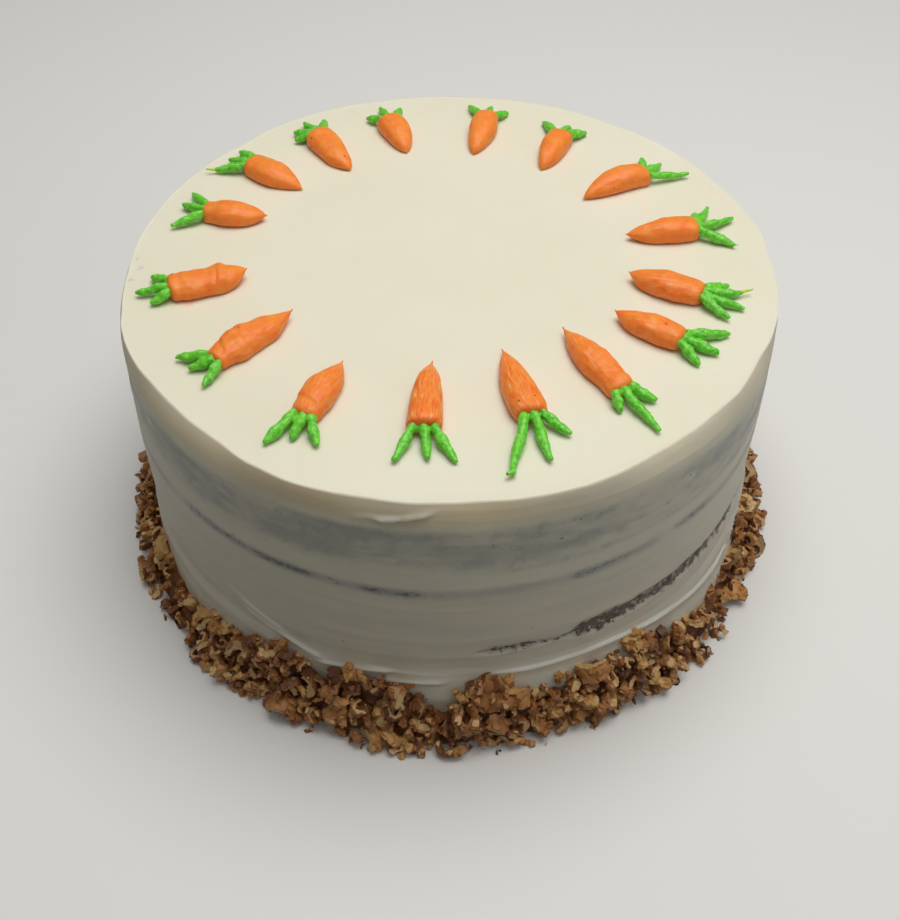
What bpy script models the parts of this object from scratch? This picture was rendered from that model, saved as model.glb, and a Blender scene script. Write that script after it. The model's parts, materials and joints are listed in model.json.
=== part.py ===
"""Round iced carrot cake with three sponge layers, a chopped walnut border and sixteen piped carrots.

Metres, +Z up. The origin is the centre of the base, on the surface that the cake stands on.
Angles run anticlockwise seen from above, from +X; the front of the cake is at -90 degrees.
"""

import math
import random

import bmesh
import bpy
from mathutils import Vector

MM = 0.001
GAP = 0.3 * MM                    # clearance between pieces that touch
MERGE = 0.01 * MM                 # points closer than this are one point

# Iced cake
CAKE_HEIGHT = 106.5 * MM
SIDE_RADIUS = 110.0 * MM
RIM_RADIUS = 108.0 * MM
RIM_ROUNDING = 4.0 * MM
SIDE_ICING = 3.0 * MM
TOP_ICING = 7.0 * MM
LEDGE_HEIGHT = 29.0 * MM          # the side icing is a little thicker below this height
LEDGE_STEP = 0.8 * MM
ICING_WAVE = 0.5 * MM             # how far the side wanders in and out
SEGMENTS = 72

# Sponge layers, from the base up; each joint is where the sponge above starts
SPONGE_RADIUS = 106.5 * MM
SPONGE_SEGMENTS = 40
LOWER_JOINT = 38.5 * MM
UPPER_JOINT = 69.8 * MM
FILLING = 3.4 * MM

# Walnut border round the foot of the cake
BORDER_HEIGHT = 19.0 * MM
BORDER_FRONT_RISE = 3.0 * MM
BORDER_FOOT = 123.0 * MM
BORDER_REACH = 126.0 * MM
BORDER_LUMP = 1.8 * MM

# Piped carrots
CARROT_HEIGHT = 6.2 * MM
TIP_LIFT = 2.6 * MM
FROND_RADIUS = 1.8 * MM
FROND_SIDES = 6
WAIST_SPREAD = 0.1                # reach of a waist, as a part of the carrot's length
ROOT_SPACING = 2.0 * MM           # between neighbouring roots, so that they run into each other
ROOT_GAP = 0.4 * MM               # from the crown's flat end to the first root
ROOT_STAGGER = 0.35 * MM          # each root of a fan starts a little further out than the last

# around: angle of the crown; out: its distance from the middle of the cake; lean: how far the
# carrot turns from the radial line; full: where it is widest, from the crown at 0 to the tip at 1;
# crown: width there as a part of the widest; bend: sideways bow; waist: where it is pinched in,
# and by how much; tips: where each frond ends, outwards and sideways from the crown.
# Lengths in millimetres, angles in degrees.
CARROTS = (
    dict(around=-95, out=80.5, length=28, lean=3, width=11, full=0.05, crown=0.95, bend=0.4,
         tips=((12, -8), (11, 2), (11.5, 10))),
    dict(around=-72, out=79, length=29.5, lean=-4, width=11, full=0.15, crown=0.85, bend=-0.6,
         tips=((19, -11.5), (17, 0.5), (8.5, 9))),
    dict(around=-51.5, out=83, length=31.5, lean=-8, width=11, full=0.40, crown=0.80, bend=0.5,
         waist=(0.22, 0.12),
         tips=((5, -5), (17.5, 0), (7, 7))),
    dict(around=-30, out=84, length=24.5, lean=-1, width=10.5, full=0.40, crown=0.65, bend=0.3,
         tips=((8, -6.5), (11, 1.5), (10.5, 12))),
    dict(around=-13.5, out=84.5, length=25.5, lean=-11, width=11.5, full=0.45, crown=0.62, bend=-0.3,
         tips=((10.5, -7), (13.5, 0), (5.5, 9.5), (12.5, 8.5))),
    dict(around=11, out=87, length=26, lean=-2, width=10.5, full=0.35, crown=0.75, bend=-0.4,
         tips=((10, -10), (14.5, 5), (7.5, 12.5), (2, 10))),
    dict(around=34.5, out=87, length=27.5, lean=-6, width=10.5, full=0.35, crown=0.80, bend=1.6,
         tips=((14.5, -6), (9.5, 4.5), (5.5, 10.5))),
    dict(around=60.5, out=87, length=23, lean=10, width=11, full=0.32, crown=0.80, bend=0.8,
         tips=((6.5, -8), (8.5, -0.5), (8.5, 10))),
    dict(around=80.5, out=90, length=24.5, lean=-1, width=11, full=0.30, crown=0.80, bend=0.4,
         tips=((6, -7.5), (8.5, -0.5), (8, 8.5))),
    dict(around=105, out=89.5, length=22, lean=6, width=11.5, full=0.28, crown=0.80, bend=-0.5,
         tips=((7, -7.5), (11, -0.5), (5.5, 7))),
    dict(around=123.5, out=90.5, length=26, lean=-3, width=12, full=0.30, crown=0.85, bend=-0.8,
         waist=(0.62, 0.10),
         tips=((9, -8), (11.5, -0.5), (7.5, 6), (2.5, 8))),
    dict(around=142.5, out=91.5, length=24.5, lean=4, width=12, full=0.40, crown=0.75, bend=0.3,
         tips=((9.5, -5.5), (9.5, 1), (10.5, 10.5))),
    dict(around=163, out=89, length=23, lean=9, width=11, full=0.45, crown=0.70, bend=0.2,
         tips=((7.5, -12), (9, -4), (9, 9))),
    dict(around=-169.5, out=92, length=26, lean=7, width=12, full=0.60, crown=0.80, bend=0.6,
         waist=(0.40, 0.08),
         tips=((4, -9.5), (10.5, -2), (6.5, 4.5))),
    dict(around=-144, out=88, length=31.5, lean=9, width=12, full=0.45, crown=0.62, bend=-0.7,
         waist=(0.20, 0.07),
         tips=((6, -10.5), (6.5, -3.5), (8, 6))),
    dict(around=-119, out=86.5, length=25, lean=4, width=10.5, full=0.45, crown=0.72, bend=-0.4,
         tips=((12.5, -5.5), (8, 1), (7, 9))),
)

COLOURS = {                       # linear base colour, roughness
    "icing": ((0.74, 0.69, 0.54), 0.45),
    "filling": ((0.72, 0.66, 0.50), 0.50),
    "sponge": ((0.26, 0.13, 0.05), 0.85),
    "walnut": ((0.20, 0.11, 0.05), 0.70),
    "carrot": ((0.90, 0.26, 0.05), 0.40),
    "greens": ((0.10, 0.42, 0.04), 0.40),
}


def material(finish):
    """The Principled material of one finish, made once and shared."""
    found = bpy.data.materials.get(finish)
    if found:
        return found
    made = bpy.data.materials.new(finish)
    made.use_nodes = True
    colour, roughness = COLOURS[finish]
    shader = made.node_tree.nodes["Principled BSDF"]
    shader.inputs["Base Color"].default_value = (*colour, 1.0)
    shader.inputs["Roughness"].default_value = roughness
    shader.inputs["Metallic"].default_value = 0.0
    made.diffuse_color = (*colour, 1.0)
    return made


def piece(name, mesh, finish):
    """Puts a finished mesh in the scene as the named piece."""
    mesh.name = name
    mesh.shade_smooth()
    mesh.set_sharp_from_angle(angle=math.radians(40))
    mesh.materials.clear()
    mesh.materials.append(material(finish))
    made = bpy.data.objects.new(name, mesh)
    bpy.context.collection.objects.link(made)
    return made


def mesh_of(bm, name):
    """Turns a bmesh into a mesh whose faces point outwards."""
    bmesh.ops.recalc_face_normals(bm, faces=bm.faces)
    mesh = bpy.data.meshes.new(name)
    bm.to_mesh(mesh)
    bm.free()
    return mesh


def bridge(bm, first, second):
    """Joins two rings of the same count with a band of quads."""
    count = len(first)
    for i in range(count):
        j = (i + 1) % count
        bm.faces.new((first[i], first[j], second[j], second[i]))


def fan(bm, ring, point):
    """Closes a ring onto one point."""
    count = len(ring)
    for i in range(count):
        bm.faces.new((ring[i], ring[(i + 1) % count], point))


def wave(angle):
    """The wander of the iced side at an angle, from about -1 to 1."""
    return (0.5 * math.sin(2 * angle + 0.7) + 0.3 * math.sin(3 * angle + 2.1)
            + 0.2 * math.sin(7 * angle + 0.4))


def turned_ring(bm, radius, height):
    """A ring of points about the Z axis; radius and height are functions of the angle."""
    ring = []
    for i in range(SEGMENTS):
        angle = math.tau * i / SEGMENTS
        reach = radius(angle)
        ring.append(bm.verts.new((reach * math.cos(angle), reach * math.sin(angle), height(angle))))
    return ring


def side_reach(offset):
    """The iced side's radius as a function of the angle, moved out by an offset."""
    return lambda angle: SIDE_RADIUS + ICING_WAVE * wave(angle) + offset


def icing_profile():
    """Offset from the side and height of each outer ring, from the base up to the rounded rim."""
    inset = RIM_RADIUS - SIDE_RADIUS
    points = [
        (LEDGE_STEP, 0.0),
        (LEDGE_STEP, LEDGE_HEIGHT - 1.5 * MM),
        (0.0, LEDGE_HEIGHT + 1.0 * MM),
        (-0.2 * MM, UPPER_JOINT),
        (0.6 * inset, CAKE_HEIGHT - 2.6 * RIM_ROUNDING),
    ]
    for step in range(4):
        turn = math.radians(30 * step)
        points.append((inset - RIM_ROUNDING * (1 - math.cos(turn)),
                       CAKE_HEIGHT - RIM_ROUNDING * (1 - math.sin(turn))))
    return points


def icing():
    """The coat over the top and down the side, open underneath."""
    bm = bmesh.new()
    rings = [turned_ring(bm, side_reach(offset), lambda angle, z=z: z) for offset, z in icing_profile()]
    inner_radius = SIDE_RADIUS - SIDE_ICING
    ceiling = CAKE_HEIGHT - TOP_ICING
    inner_foot = turned_ring(bm, lambda angle: inner_radius, lambda angle: 0.0)
    inner_top = turned_ring(bm, lambda angle: inner_radius, lambda angle: ceiling)
    for lower, upper in zip(rings, rings[1:]):
        bridge(bm, lower, upper)
    bridge(bm, rings[0], inner_foot)
    bridge(bm, inner_foot, inner_top)
    fan(bm, rings[-1], bm.verts.new((0, 0, CAKE_HEIGHT)))
    fan(bm, inner_top, bm.verts.new((0, 0, ceiling)))
    piece("icing", mesh_of(bm, "icing"), "icing")


def disc(name, bottom, top, finish):
    """A flat round layer between two heights."""
    bm = bmesh.new()
    bmesh.ops.create_cone(bm, cap_ends=True, segments=SPONGE_SEGMENTS, radius1=SPONGE_RADIUS,
                          radius2=SPONGE_RADIUS, depth=top - bottom)
    bmesh.ops.translate(bm, verts=bm.verts, vec=(0, 0, (bottom + top) / 2))
    piece(name, mesh_of(bm, name), finish)


def layers():
    """Three sponges with a filling under each of the upper two."""
    top = CAKE_HEIGHT - TOP_ICING - GAP
    disc("sponge_bottom", 0.0, LOWER_JOINT - FILLING - 2 * GAP, "sponge")
    disc("filling_lower", LOWER_JOINT - FILLING - GAP, LOWER_JOINT - GAP, "filling")
    disc("sponge_middle", LOWER_JOINT, UPPER_JOINT - FILLING - 2 * GAP, "sponge")
    disc("filling_upper", UPPER_JOINT - FILLING - GAP, UPPER_JOINT - GAP, "filling")
    disc("sponge_top", UPPER_JOINT, top, "sponge")


def walnut_border():
    """The lumpy bank of chopped nuts that leans on the side, up to its uneven outline."""
    rng = random.Random(11)
    quarter = SEGMENTS // 4
    lumps = [[rng.uniform(-1, 1) for _ in range(SEGMENTS)] for _ in range(4)]
    bank = [max(0.0, -math.sin(math.tau * i / SEGMENTS)) for i in range(SEGMENTS)]

    def crest(i):
        return BORDER_HEIGHT + BORDER_FRONT_RISE * bank[i] + BORDER_LUMP * lumps[0][i]

    def foot(i):
        if i % quarter == 0:
            return BORDER_REACH
        return BORDER_FOOT + 0.8 * BORDER_LUMP * lumps[1][i]

    bm = bmesh.new()
    columns = []
    for i in range(SEGMENTS):
        angle = math.tau * i / SEGMENTS
        wall = side_reach(LEDGE_STEP + GAP)(angle)
        width = foot(i) - wall
        points = (
            (wall, 0.0),
            (wall, 0.90 * crest(i)),
            (wall + 0.24 * width, crest(i)),
            (wall + 0.58 * width, (0.68 + 0.08 * lumps[2][i]) * crest(i)),
            (wall + 0.86 * width, (0.34 + 0.08 * lumps[3][i]) * crest(i)),
            (wall + width, 2.0 * MM),
            (wall + 0.97 * width, 0.0),
        )
        columns.append([bm.verts.new((r * math.cos(angle), r * math.sin(angle), z)) for r, z in points])
    for i in range(SEGMENTS):
        bridge(bm, columns[i], columns[(i + 1) % SEGMENTS])
    piece("walnut_border", mesh_of(bm, "walnut_border"), "walnut")


def carrot_frame(carrot):
    """The crown's place on the cake top, the outward direction of the carrot and its left side."""
    around = math.radians(carrot["around"])
    line = math.radians(carrot["around"] + carrot["lean"])
    crown = Vector((math.cos(around), math.sin(around), 0)) * carrot["out"] * MM
    crown.z = CAKE_HEIGHT + GAP
    outward = Vector((math.cos(line), math.sin(line), 0))
    return crown, outward, Vector((-outward.y, outward.x, 0))


def fullness(carrot, along):
    """Width at a place along the carrot as a part of its greatest width."""
    full, crown = carrot["full"], carrot["crown"]
    if along < full:
        outline = crown + (1 - crown) * math.sin(math.pi / 2 * along / full)
    else:
        outline = (1 - ((along - full) / (1 - full)) ** 2.4) ** 0.65
    waist_at, waist_depth = carrot.get("waist", (0.5, 0.0))
    return outline * (1 - waist_depth * math.exp(-((along - waist_at) / WAIST_SPREAD) ** 2))


def carrot_body(name, carrot, rng):
    """A piped carrot: flat below, round above, with a blunt crown and a drawn-out tip."""
    crown, outward, left = carrot_frame(carrot)
    length = carrot["length"] * MM
    section = ((-0.78, 0.0), (-1.0, 0.30), (-0.86, 0.66), (-0.48, 0.92), (0.0, 1.0),
               (0.48, 0.92), (0.86, 0.66), (1.0, 0.30), (0.78, 0.0))
    bm = bmesh.new()
    rings = []
    for along in (0.0, 0.05, 0.16, 0.32, 0.50, 0.67, 0.82, 0.93):
        round_end = 0.74 if along == 0 else 1.0
        half = carrot["width"] * MM / 2 * fullness(carrot, along) * round_end
        half *= 1 + 0.05 * rng.uniform(-1, 1)
        height = CARROT_HEIGHT * (0.35 + 0.65 * fullness(carrot, along)) * round_end
        height *= 1 + 0.06 * rng.uniform(-1, 1)
        bow = carrot["bend"] * MM * math.sin(math.pi * along)
        middle = crown - outward * length * along + left * bow
        rings.append([bm.verts.new(middle + left * half * x + Vector((0, 0, height * z)))
                      for x, z in section])
    for first, second in zip(rings, rings[1:]):
        bridge(bm, first, second)
    bm.faces.new(rings[0])
    fan(bm, rings[-1], bm.verts.new(crown - outward * length + Vector((0, 0, TIP_LIFT))))
    piece(name, mesh_of(bm, name), "carrot")


def strand(root, direction, bow, end, thickness):
    """One piped frond: a tube from the root through a bow to its pointed end."""
    bm = bmesh.new()
    rings = []
    for t, swell in ((0.0, 0.95), (0.24, 1.06), (0.52, 1.0), (0.82, 0.80)):
        centre = root * (1 - t) ** 2 + bow * 2 * t * (1 - t) + end * t ** 2
        tangent = (bow - root) * (1 - t) + (end - bow) * t if t > 0 else direction
        tangent.z = 0
        across = Vector((-tangent.y, tangent.x, 0)).normalized()
        ring = []
        for i in range(FROND_SIDES):
            angle = math.tau * (i + 0.5) / FROND_SIDES
            point = centre + across * thickness * swell * math.cos(angle)
            point.z += thickness * swell * math.sin(angle)
            ring.append(bm.verts.new(point))
        rings.append(ring)
    for first, second in zip(rings, rings[1:]):
        bridge(bm, first, second)
    bm.faces.new(rings[0])
    fan(bm, rings[-1], bm.verts.new(end))
    bmesh.ops.triangulate(bm, faces=bm.faces)
    return mesh_of(bm, "strand")


def union(meshes):
    """One closed mesh from meshes that run into each other."""
    objects = [bpy.data.objects.new("strand", mesh) for mesh in meshes]
    for made in objects:
        bpy.context.collection.objects.link(made)
    base = objects[0]
    for other in objects[1:]:
        joint = base.modifiers.new("union", "BOOLEAN")
        joint.operation = "UNION"
        joint.solver = "EXACT"
        joint.object = other
    bpy.context.view_layer.update()
    evaluated = base.evaluated_get(bpy.context.evaluated_depsgraph_get())
    bm = bmesh.new()
    bm.from_mesh(evaluated.to_mesh())
    bmesh.ops.remove_doubles(bm, verts=bm.verts, dist=MERGE)
    bmesh.ops.dissolve_degenerate(bm, edges=bm.edges, dist=MERGE)
    bmesh.ops.triangulate(bm, faces=bm.faces)
    for made in objects:
        bpy.data.objects.remove(made)
    return mesh_of(bm, "strands")


def carrot_greens(name, carrot, rng):
    """The fronds piped from one crown, spread like a fan from roots that run into each other."""
    crown, outward, left = carrot_frame(carrot)
    tips = carrot["tips"]
    spacing = ROOT_SPACING
    meshes = []
    for i, (out, side) in enumerate(tips):
        thickness = FROND_RADIUS * rng.uniform(0.9, 1.05)
        lift = Vector((0, 0, 1.08 * thickness))
        offset = (i - (len(tips) - 1) / 2) * spacing
        root = crown + outward * (ROOT_GAP + i * ROOT_STAGGER) + left * offset + lift
        bow = root + outward * 2.6 * MM + left * (0.35 * (side * MM - offset))
        end = crown + outward * out * MM + left * side * MM
        end.z += rng.uniform(0.9, 1.5) * MM
        meshes.append(strand(root, outward, bow, end, thickness))
    piece(name, union(meshes), "greens")


def piped_carrots():
    """The ring of carrots, numbered from the front anticlockwise."""
    for number, carrot in enumerate(CARROTS, start=1):
        rng = random.Random(100 + number)
        carrot_body(f"carrot_{number:02d}", carrot, rng)
        carrot_greens(f"greens_{number:02d}", carrot, rng)


def clear():
    """Empties the scene."""
    for old in list(bpy.data.objects):
        bpy.data.objects.remove(old, do_unlink=True)


clear()
layers()
icing()
walnut_border()
piped_carrots()
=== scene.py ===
import json
import math
import random

import bmesh
import bpy
import numpy as np
from mathutils import Euler, Matrix, Vector, noise
from mathutils.bvhtree import BVHTree

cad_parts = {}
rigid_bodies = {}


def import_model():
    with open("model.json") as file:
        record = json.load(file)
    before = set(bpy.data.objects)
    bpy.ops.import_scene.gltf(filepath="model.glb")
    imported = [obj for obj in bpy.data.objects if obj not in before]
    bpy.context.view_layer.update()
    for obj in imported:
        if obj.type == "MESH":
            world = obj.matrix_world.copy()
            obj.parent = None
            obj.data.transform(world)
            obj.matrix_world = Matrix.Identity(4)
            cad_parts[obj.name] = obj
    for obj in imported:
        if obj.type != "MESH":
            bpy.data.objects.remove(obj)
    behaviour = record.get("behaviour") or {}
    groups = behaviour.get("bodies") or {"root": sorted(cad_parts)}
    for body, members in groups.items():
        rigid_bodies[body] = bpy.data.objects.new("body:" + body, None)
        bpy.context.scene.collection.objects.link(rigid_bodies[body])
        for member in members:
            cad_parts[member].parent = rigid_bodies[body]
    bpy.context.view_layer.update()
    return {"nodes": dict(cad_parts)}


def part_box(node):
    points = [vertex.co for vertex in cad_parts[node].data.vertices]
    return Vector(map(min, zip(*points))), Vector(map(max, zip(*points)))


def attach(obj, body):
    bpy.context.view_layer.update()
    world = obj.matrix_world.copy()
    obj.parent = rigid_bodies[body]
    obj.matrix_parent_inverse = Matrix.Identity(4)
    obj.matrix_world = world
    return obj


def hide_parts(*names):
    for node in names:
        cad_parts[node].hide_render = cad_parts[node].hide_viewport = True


# Carrot cake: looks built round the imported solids. Metres, +Z up, front at -90 degrees.

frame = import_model()
nodes = frame["nodes"]
mm = 0.001
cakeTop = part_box("icing")[1].z


def addNode(tree, kind, inputs=None, **settings):
    node = tree.nodes.new(kind)
    for name, value in settings.items():
        setattr(node, name, value)
    for key, value in (inputs or {}).items():
        if isinstance(value, bpy.types.NodeSocket):
            tree.links.new(value, node.inputs[key])
        else:
            node.inputs[key].default_value = value
    return node


def calc(tree, operation, a, b=0.0, c=0.0):
    return addNode(tree, "ShaderNodeMath", {0: a, 1: b, 2: c}, operation=operation).outputs[0]


def blendColours(tree, share, a, b):
    node = addNode(tree, "ShaderNodeMix", {0: share}, data_type="RGBA")
    for socket, colour in ((node.inputs[6], a), (node.inputs[7], b)):
        if isinstance(colour, bpy.types.NodeSocket):
            tree.links.new(colour, socket)
        else:
            socket.default_value = (*colour, 1)
    return node.outputs[2]


def softStep(tree, value, low, high, top=1.0):
    return addNode(tree, "ShaderNodeMapRange", {0: value, 1: low, 2: high, 3: 0.0, 4: top},
                   interpolation_type="SMOOTHSTEP").outputs[0]


def grain(tree, place, size, detail=3.0, roughness=0.55):
    # noise whose features are about this many metres across
    return addNode(tree, "ShaderNodeTexNoise", {"Vector": place, "Scale": 1 / size, "Detail": detail,
                                                "Roughness": roughness}).outputs[0]


def attribute(tree, name, output="Fac"):
    return addNode(tree, "ShaderNodeAttribute", attribute_name=name).outputs[output]


def newMaterial(name, roughness, specular=0.5):
    material = bpy.data.materials.new(name)
    material.use_nodes = True
    tree = material.node_tree
    shader = tree.nodes["Principled BSDF"]
    shader.inputs["Roughness"].default_value = roughness
    shader.inputs["Specular IOR Level"].default_value = specular
    place = addNode(tree, "ShaderNodeTexCoord").outputs["Object"]
    return material, tree, shader, place


def softBody(shader, weight, reach, scale):
    # light that wanders under the surface, further in red than in blue
    shader.inputs["Subsurface Weight"].default_value = weight
    shader.inputs["Subsurface Radius"].default_value = reach
    shader.inputs["Subsurface Scale"].default_value = scale


def addBump(tree, shader, height, strength, distance):
    bump = addNode(tree, "ShaderNodeBump", {"Height": height, "Strength": strength, "Distance": distance})
    tree.links.new(bump.outputs["Normal"], shader.inputs["Normal"])


def meshObject(name, mesh, material, replaced=()):
    piece = bpy.data.objects.new(name, mesh)
    bpy.context.scene.collection.objects.link(piece)
    mesh.materials.clear()
    mesh.materials.append(material)
    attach(piece, "root")
    if replaced:
        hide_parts(*replaced)
    return piece


def mergedCopy(nodeName):
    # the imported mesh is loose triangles, so its copy is welded before use
    bm = bmesh.new()
    bm.from_mesh(nodes[nodeName].data)
    bmesh.ops.remove_doubles(bm, verts=bm.verts, dist=0.002 * mm)
    return bm


def coordinates(mesh):
    places = np.empty(len(mesh.vertices) * 3, np.float32)
    mesh.vertices.foreach_get("co", places)
    return places.reshape(-1, 3).astype(float)


def setCoordinates(mesh, places):
    mesh.vertices.foreach_set("co", places.astype(np.float32).ravel())
    mesh.update()


def storeFloat(mesh, name, values):
    layer = mesh.attributes.new(name, "FLOAT", "POINT")
    layer.data.foreach_set("value", np.asarray(values, np.float32).ravel())


def evaluatedMesh(piece):
    depsgraph = bpy.context.evaluated_depsgraph_get()
    return bpy.data.meshes.new_from_object(piece.evaluated_get(depsgraph))


def throughModifiers(mesh, *modifiers):
    # runs a mesh through modifiers on a helper object and gives back the plain result
    helper = bpy.data.objects.new("helper", mesh)
    bpy.context.scene.collection.objects.link(helper)
    for kind, settings in modifiers:
        modifier = helper.modifiers.new(kind.lower(), kind)
        for name, value in settings.items():
            setattr(modifier, name, value)
    result = evaluatedMesh(helper)
    bpy.data.objects.remove(helper)
    return result


def smoothStep(x, low, high):
    t = np.clip((x - low) / (high - low), 0, 1)
    return t * t * (3 - 2 * t)


def bandNoise(turn, level, cellsAround, cellHeight, seed):
    # smooth random field round the cake: turn is 0 to 1 round it, level in metres
    grid = np.random.default_rng(seed).uniform(-1, 1, (cellsAround, 211))
    u = turn * cellsAround
    v = level / cellHeight + 50
    i = np.floor(u).astype(int)
    j = np.floor(v).astype(int)
    fu = u - i
    fv = v - j
    fu = fu * fu * (3 - 2 * fu)
    fv = fv * fv * (3 - 2 * fv)
    low = grid[i % cellsAround, j % 211] * (1 - fu) + grid[(i + 1) % cellsAround, j % 211] * fu
    high = (grid[i % cellsAround, (j + 1) % 211] * (1 - fu)
            + grid[(i + 1) % cellsAround, (j + 1) % 211] * fu)
    return low * (1 - fv) + high * fv


def angleWindow(degrees, centre, halfWidth, softness):
    # 1 within halfWidth of an angle, falling to 0 over softness
    away = np.abs((degrees - centre + 180) % 360 - 180)
    return 1 - smoothStep(away, halfWidth, halfWidth + softness)


view = dict(place=(0.0, -0.3097, 0.3419), turn=(0.7514, -0.0020, -0.0003), lens=45.05)
light = dict(place=(0.14, 0.10, 1.05), size=0.86, power=7.75, colour=(1.0, 0.985, 0.95),
             zenith=(0.40, 0.41, 0.42), middle=(0.142, 0.137, 0.122), middleAt=0.45,
             horizon=(0.122, 0.113, 0.094),
             fillPlace=(0.75, -0.45, 0.50), fillSize=0.8, fillPower=0.80,
             floor=(0.80, 0.79, 0.77), floorHalf=3)


def makeStage():
    camera = bpy.data.objects.new("camera", bpy.data.cameras.new("camera"))
    camera.location = view["place"]
    camera.rotation_euler = view["turn"]
    camera.data.lens = view["lens"]
    bpy.context.scene.collection.objects.link(camera)
    bpy.context.scene.camera = camera

    for name, place, size, power in (("softbox", light["place"], light["size"], light["power"]),
                                     ("fill", light["fillPlace"], light["fillSize"], light["fillPower"])):
        lamp = bpy.data.lights.new(name, "AREA")
        lamp.shape = "DISK"
        lamp.size = size
        lamp.energy = power
        lamp.color = light["colour"]
        holder = bpy.data.objects.new(name, lamp)
        holder.location = place
        holder.rotation_euler = (-Vector(place)).to_track_quat("-Z", "Y").to_euler()
        bpy.context.scene.collection.objects.link(holder)

    world = bpy.data.worlds.new("studio")
    bpy.context.scene.world = world
    world.use_nodes = True
    tree = world.node_tree
    height = addNode(tree, "ShaderNodeSeparateXYZ",
                     {0: addNode(tree, "ShaderNodeTexCoord").outputs["Generated"]}).outputs["Z"]
    ramp = addNode(tree, "ShaderNodeValToRGB", {0: height})
    ramp.color_ramp.elements[0].color = (*light["horizon"], 1)
    ramp.color_ramp.elements[1].color = (*light["zenith"], 1)
    middle = ramp.color_ramp.elements.new(light["middleAt"])
    middle.color = (*light["middle"], 1)
    tree.links.new(ramp.outputs["Color"], tree.nodes["Background"].inputs["Color"])

    material, tree, shader, place = newMaterial("floor", 0.9, 0.2)
    shade = grain(tree, place, 0.6, 2)
    tree.links.new(blendColours(tree, shade, light["floor"], [c * 0.985 for c in light["floor"]]),
                   shader.inputs["Base Color"])
    bm = bmesh.new()
    bmesh.ops.create_grid(bm, x_segments=1, y_segments=1, size=light["floorHalf"])
    mesh = bpy.data.meshes.new("floor")
    bm.to_mesh(mesh)
    bm.free()
    floor = bpy.data.objects.new("floor", mesh)
    mesh.materials.append(material)
    bpy.context.scene.collection.objects.link(floor)
    floor.visible_diffuse = False
    bpy.context.scene.view_settings.view_transform = "Standard"
    print("stage ready")


icingCoat = dict(columns=640, rowStep=1.05 * mm, fineRow=0.55 * mm, fineLow=16.5 * mm, fineHigh=39 * mm,
                 footRows=(0, 3, 6, 9), rimDrop=11.0 * mm, rimBend=25, shoulderRows=14, bumpSoftness=8,
                 edgeRadius=105.9 * mm, ragged=0.1 * mm, filmDip=0.12 * mm, topDrop=0.12 * mm,
                 innerGap=0.45 * mm, ceilingGap=0.3 * mm,
                 rimSway=((2, 0.15 * mm, 1.2), (9, 0.25 * mm, 2.6), (14, 0.25 * mm, 4.0),
                          (23, 0.12 * mm, 1.0)),
                 wander=0.35 * mm, strokes=0.07 * mm, ledge=1.1 * mm, flare=2.2 * mm, dip=0.8 * mm,
                 crumbRelief=0.55 * mm, lineDip=0.2 * mm, topWave=0.16 * mm, lip=0.30 * mm,
                 lineLevel=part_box("sponge_top")[0].z, streakLevel=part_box("filling_lower")[1].z + 1.6 * mm,
                 ledgeLevel=29 * mm, bandLevel=88.5 * mm)
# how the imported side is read: levels in mm, places round it, and waves kept
sideReading = dict(levels=(1, 20, 26, 31, 50, 70, 85, 95, 101), around=144, waves=14)
# rings of the top: steps in from the edge in mm, where the rest start and end, and where points are halved
topRings = dict(steps=(0.3, 0.8, 1.3, 1.9, 2.6, 3.4, 4.4, 5.7, 7.7, 10, 13, 16, 19.5, 23, 27), start=0.072,
                end=0.004, halving=(0.070, 0.045, 0.022))
icingTones = dict(cream=(0.815, 0.775, 0.635), creamShade=(0.800, 0.757, 0.605), side=(0.790, 0.750, 0.625),
                  sideShade=(0.735, 0.710, 0.605), rimTintAndPaintedLight=(0.76, 0.615, 0.35), film=(0.44, 0.458, 0.422),
                  lineHalo=(0.28, 0.300, 0.325), line=(0.115, 0.102, 0.104), crumb=(0.046, 0.026, 0.020),
                  crumbLight=(0.165, 0.098, 0.072), veil=(0.37, 0.36, 0.33), speck=(0.085, 0.065, 0.058),
                  faintSpeck=(0.42, 0.38, 0.28), highlightTone=(0.90, 0.885, 0.83))
# where the rim bulges or draws in, as angle, half width and millimetres
rimBumps = ((-154, 7, 1.4), (-137, 8, -1.3), (-120, 4, 0.5), (-106, 8, 0.8), (-84, 5, -0.8), (-74, 4, 0.8),
            (-50, 7, -1.2), (-6, 14, 1.7), (70, 60, 1.9))
# where the level line is dark, as centre, half width and strength; angles in degrees
lineDashes = ((-149, 4, 0.55), (-130, 5, 0.75), (-117, 4, 0.80), (-109, 3, 0.45), (-99, 3, 0.72),
              (-93, 4, 0.40), (-78, 7, 0.36), (-66, 2, 0.78), (-59, 2, 0.66), (-46, 2, 0.66),
              (-34, 4, 0.50), (-22, 5, 0.45), (40, 9, 0.6), (68, 5, 0.5), (110, 12, 0.6), (150, 8, 0.6),
              (-175, 6, 0.45))
# where the scraper tore the icing off the crumb, as centre, half width and half height in mm
crumbTears = ((-64, 3, 3.6), (-56, 4, 3.0), (-47, 4, 3.3), (-37, 5, 2.9), (-27, 6, 2.6), (-17, 5, 1.9),
              (-72, 3, 0.6), (-80, 3, 1.2), (75, 14, 2.2), (98, 6, 2.8), (120, 6, 1.2), (165, 9, 1.8))
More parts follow.
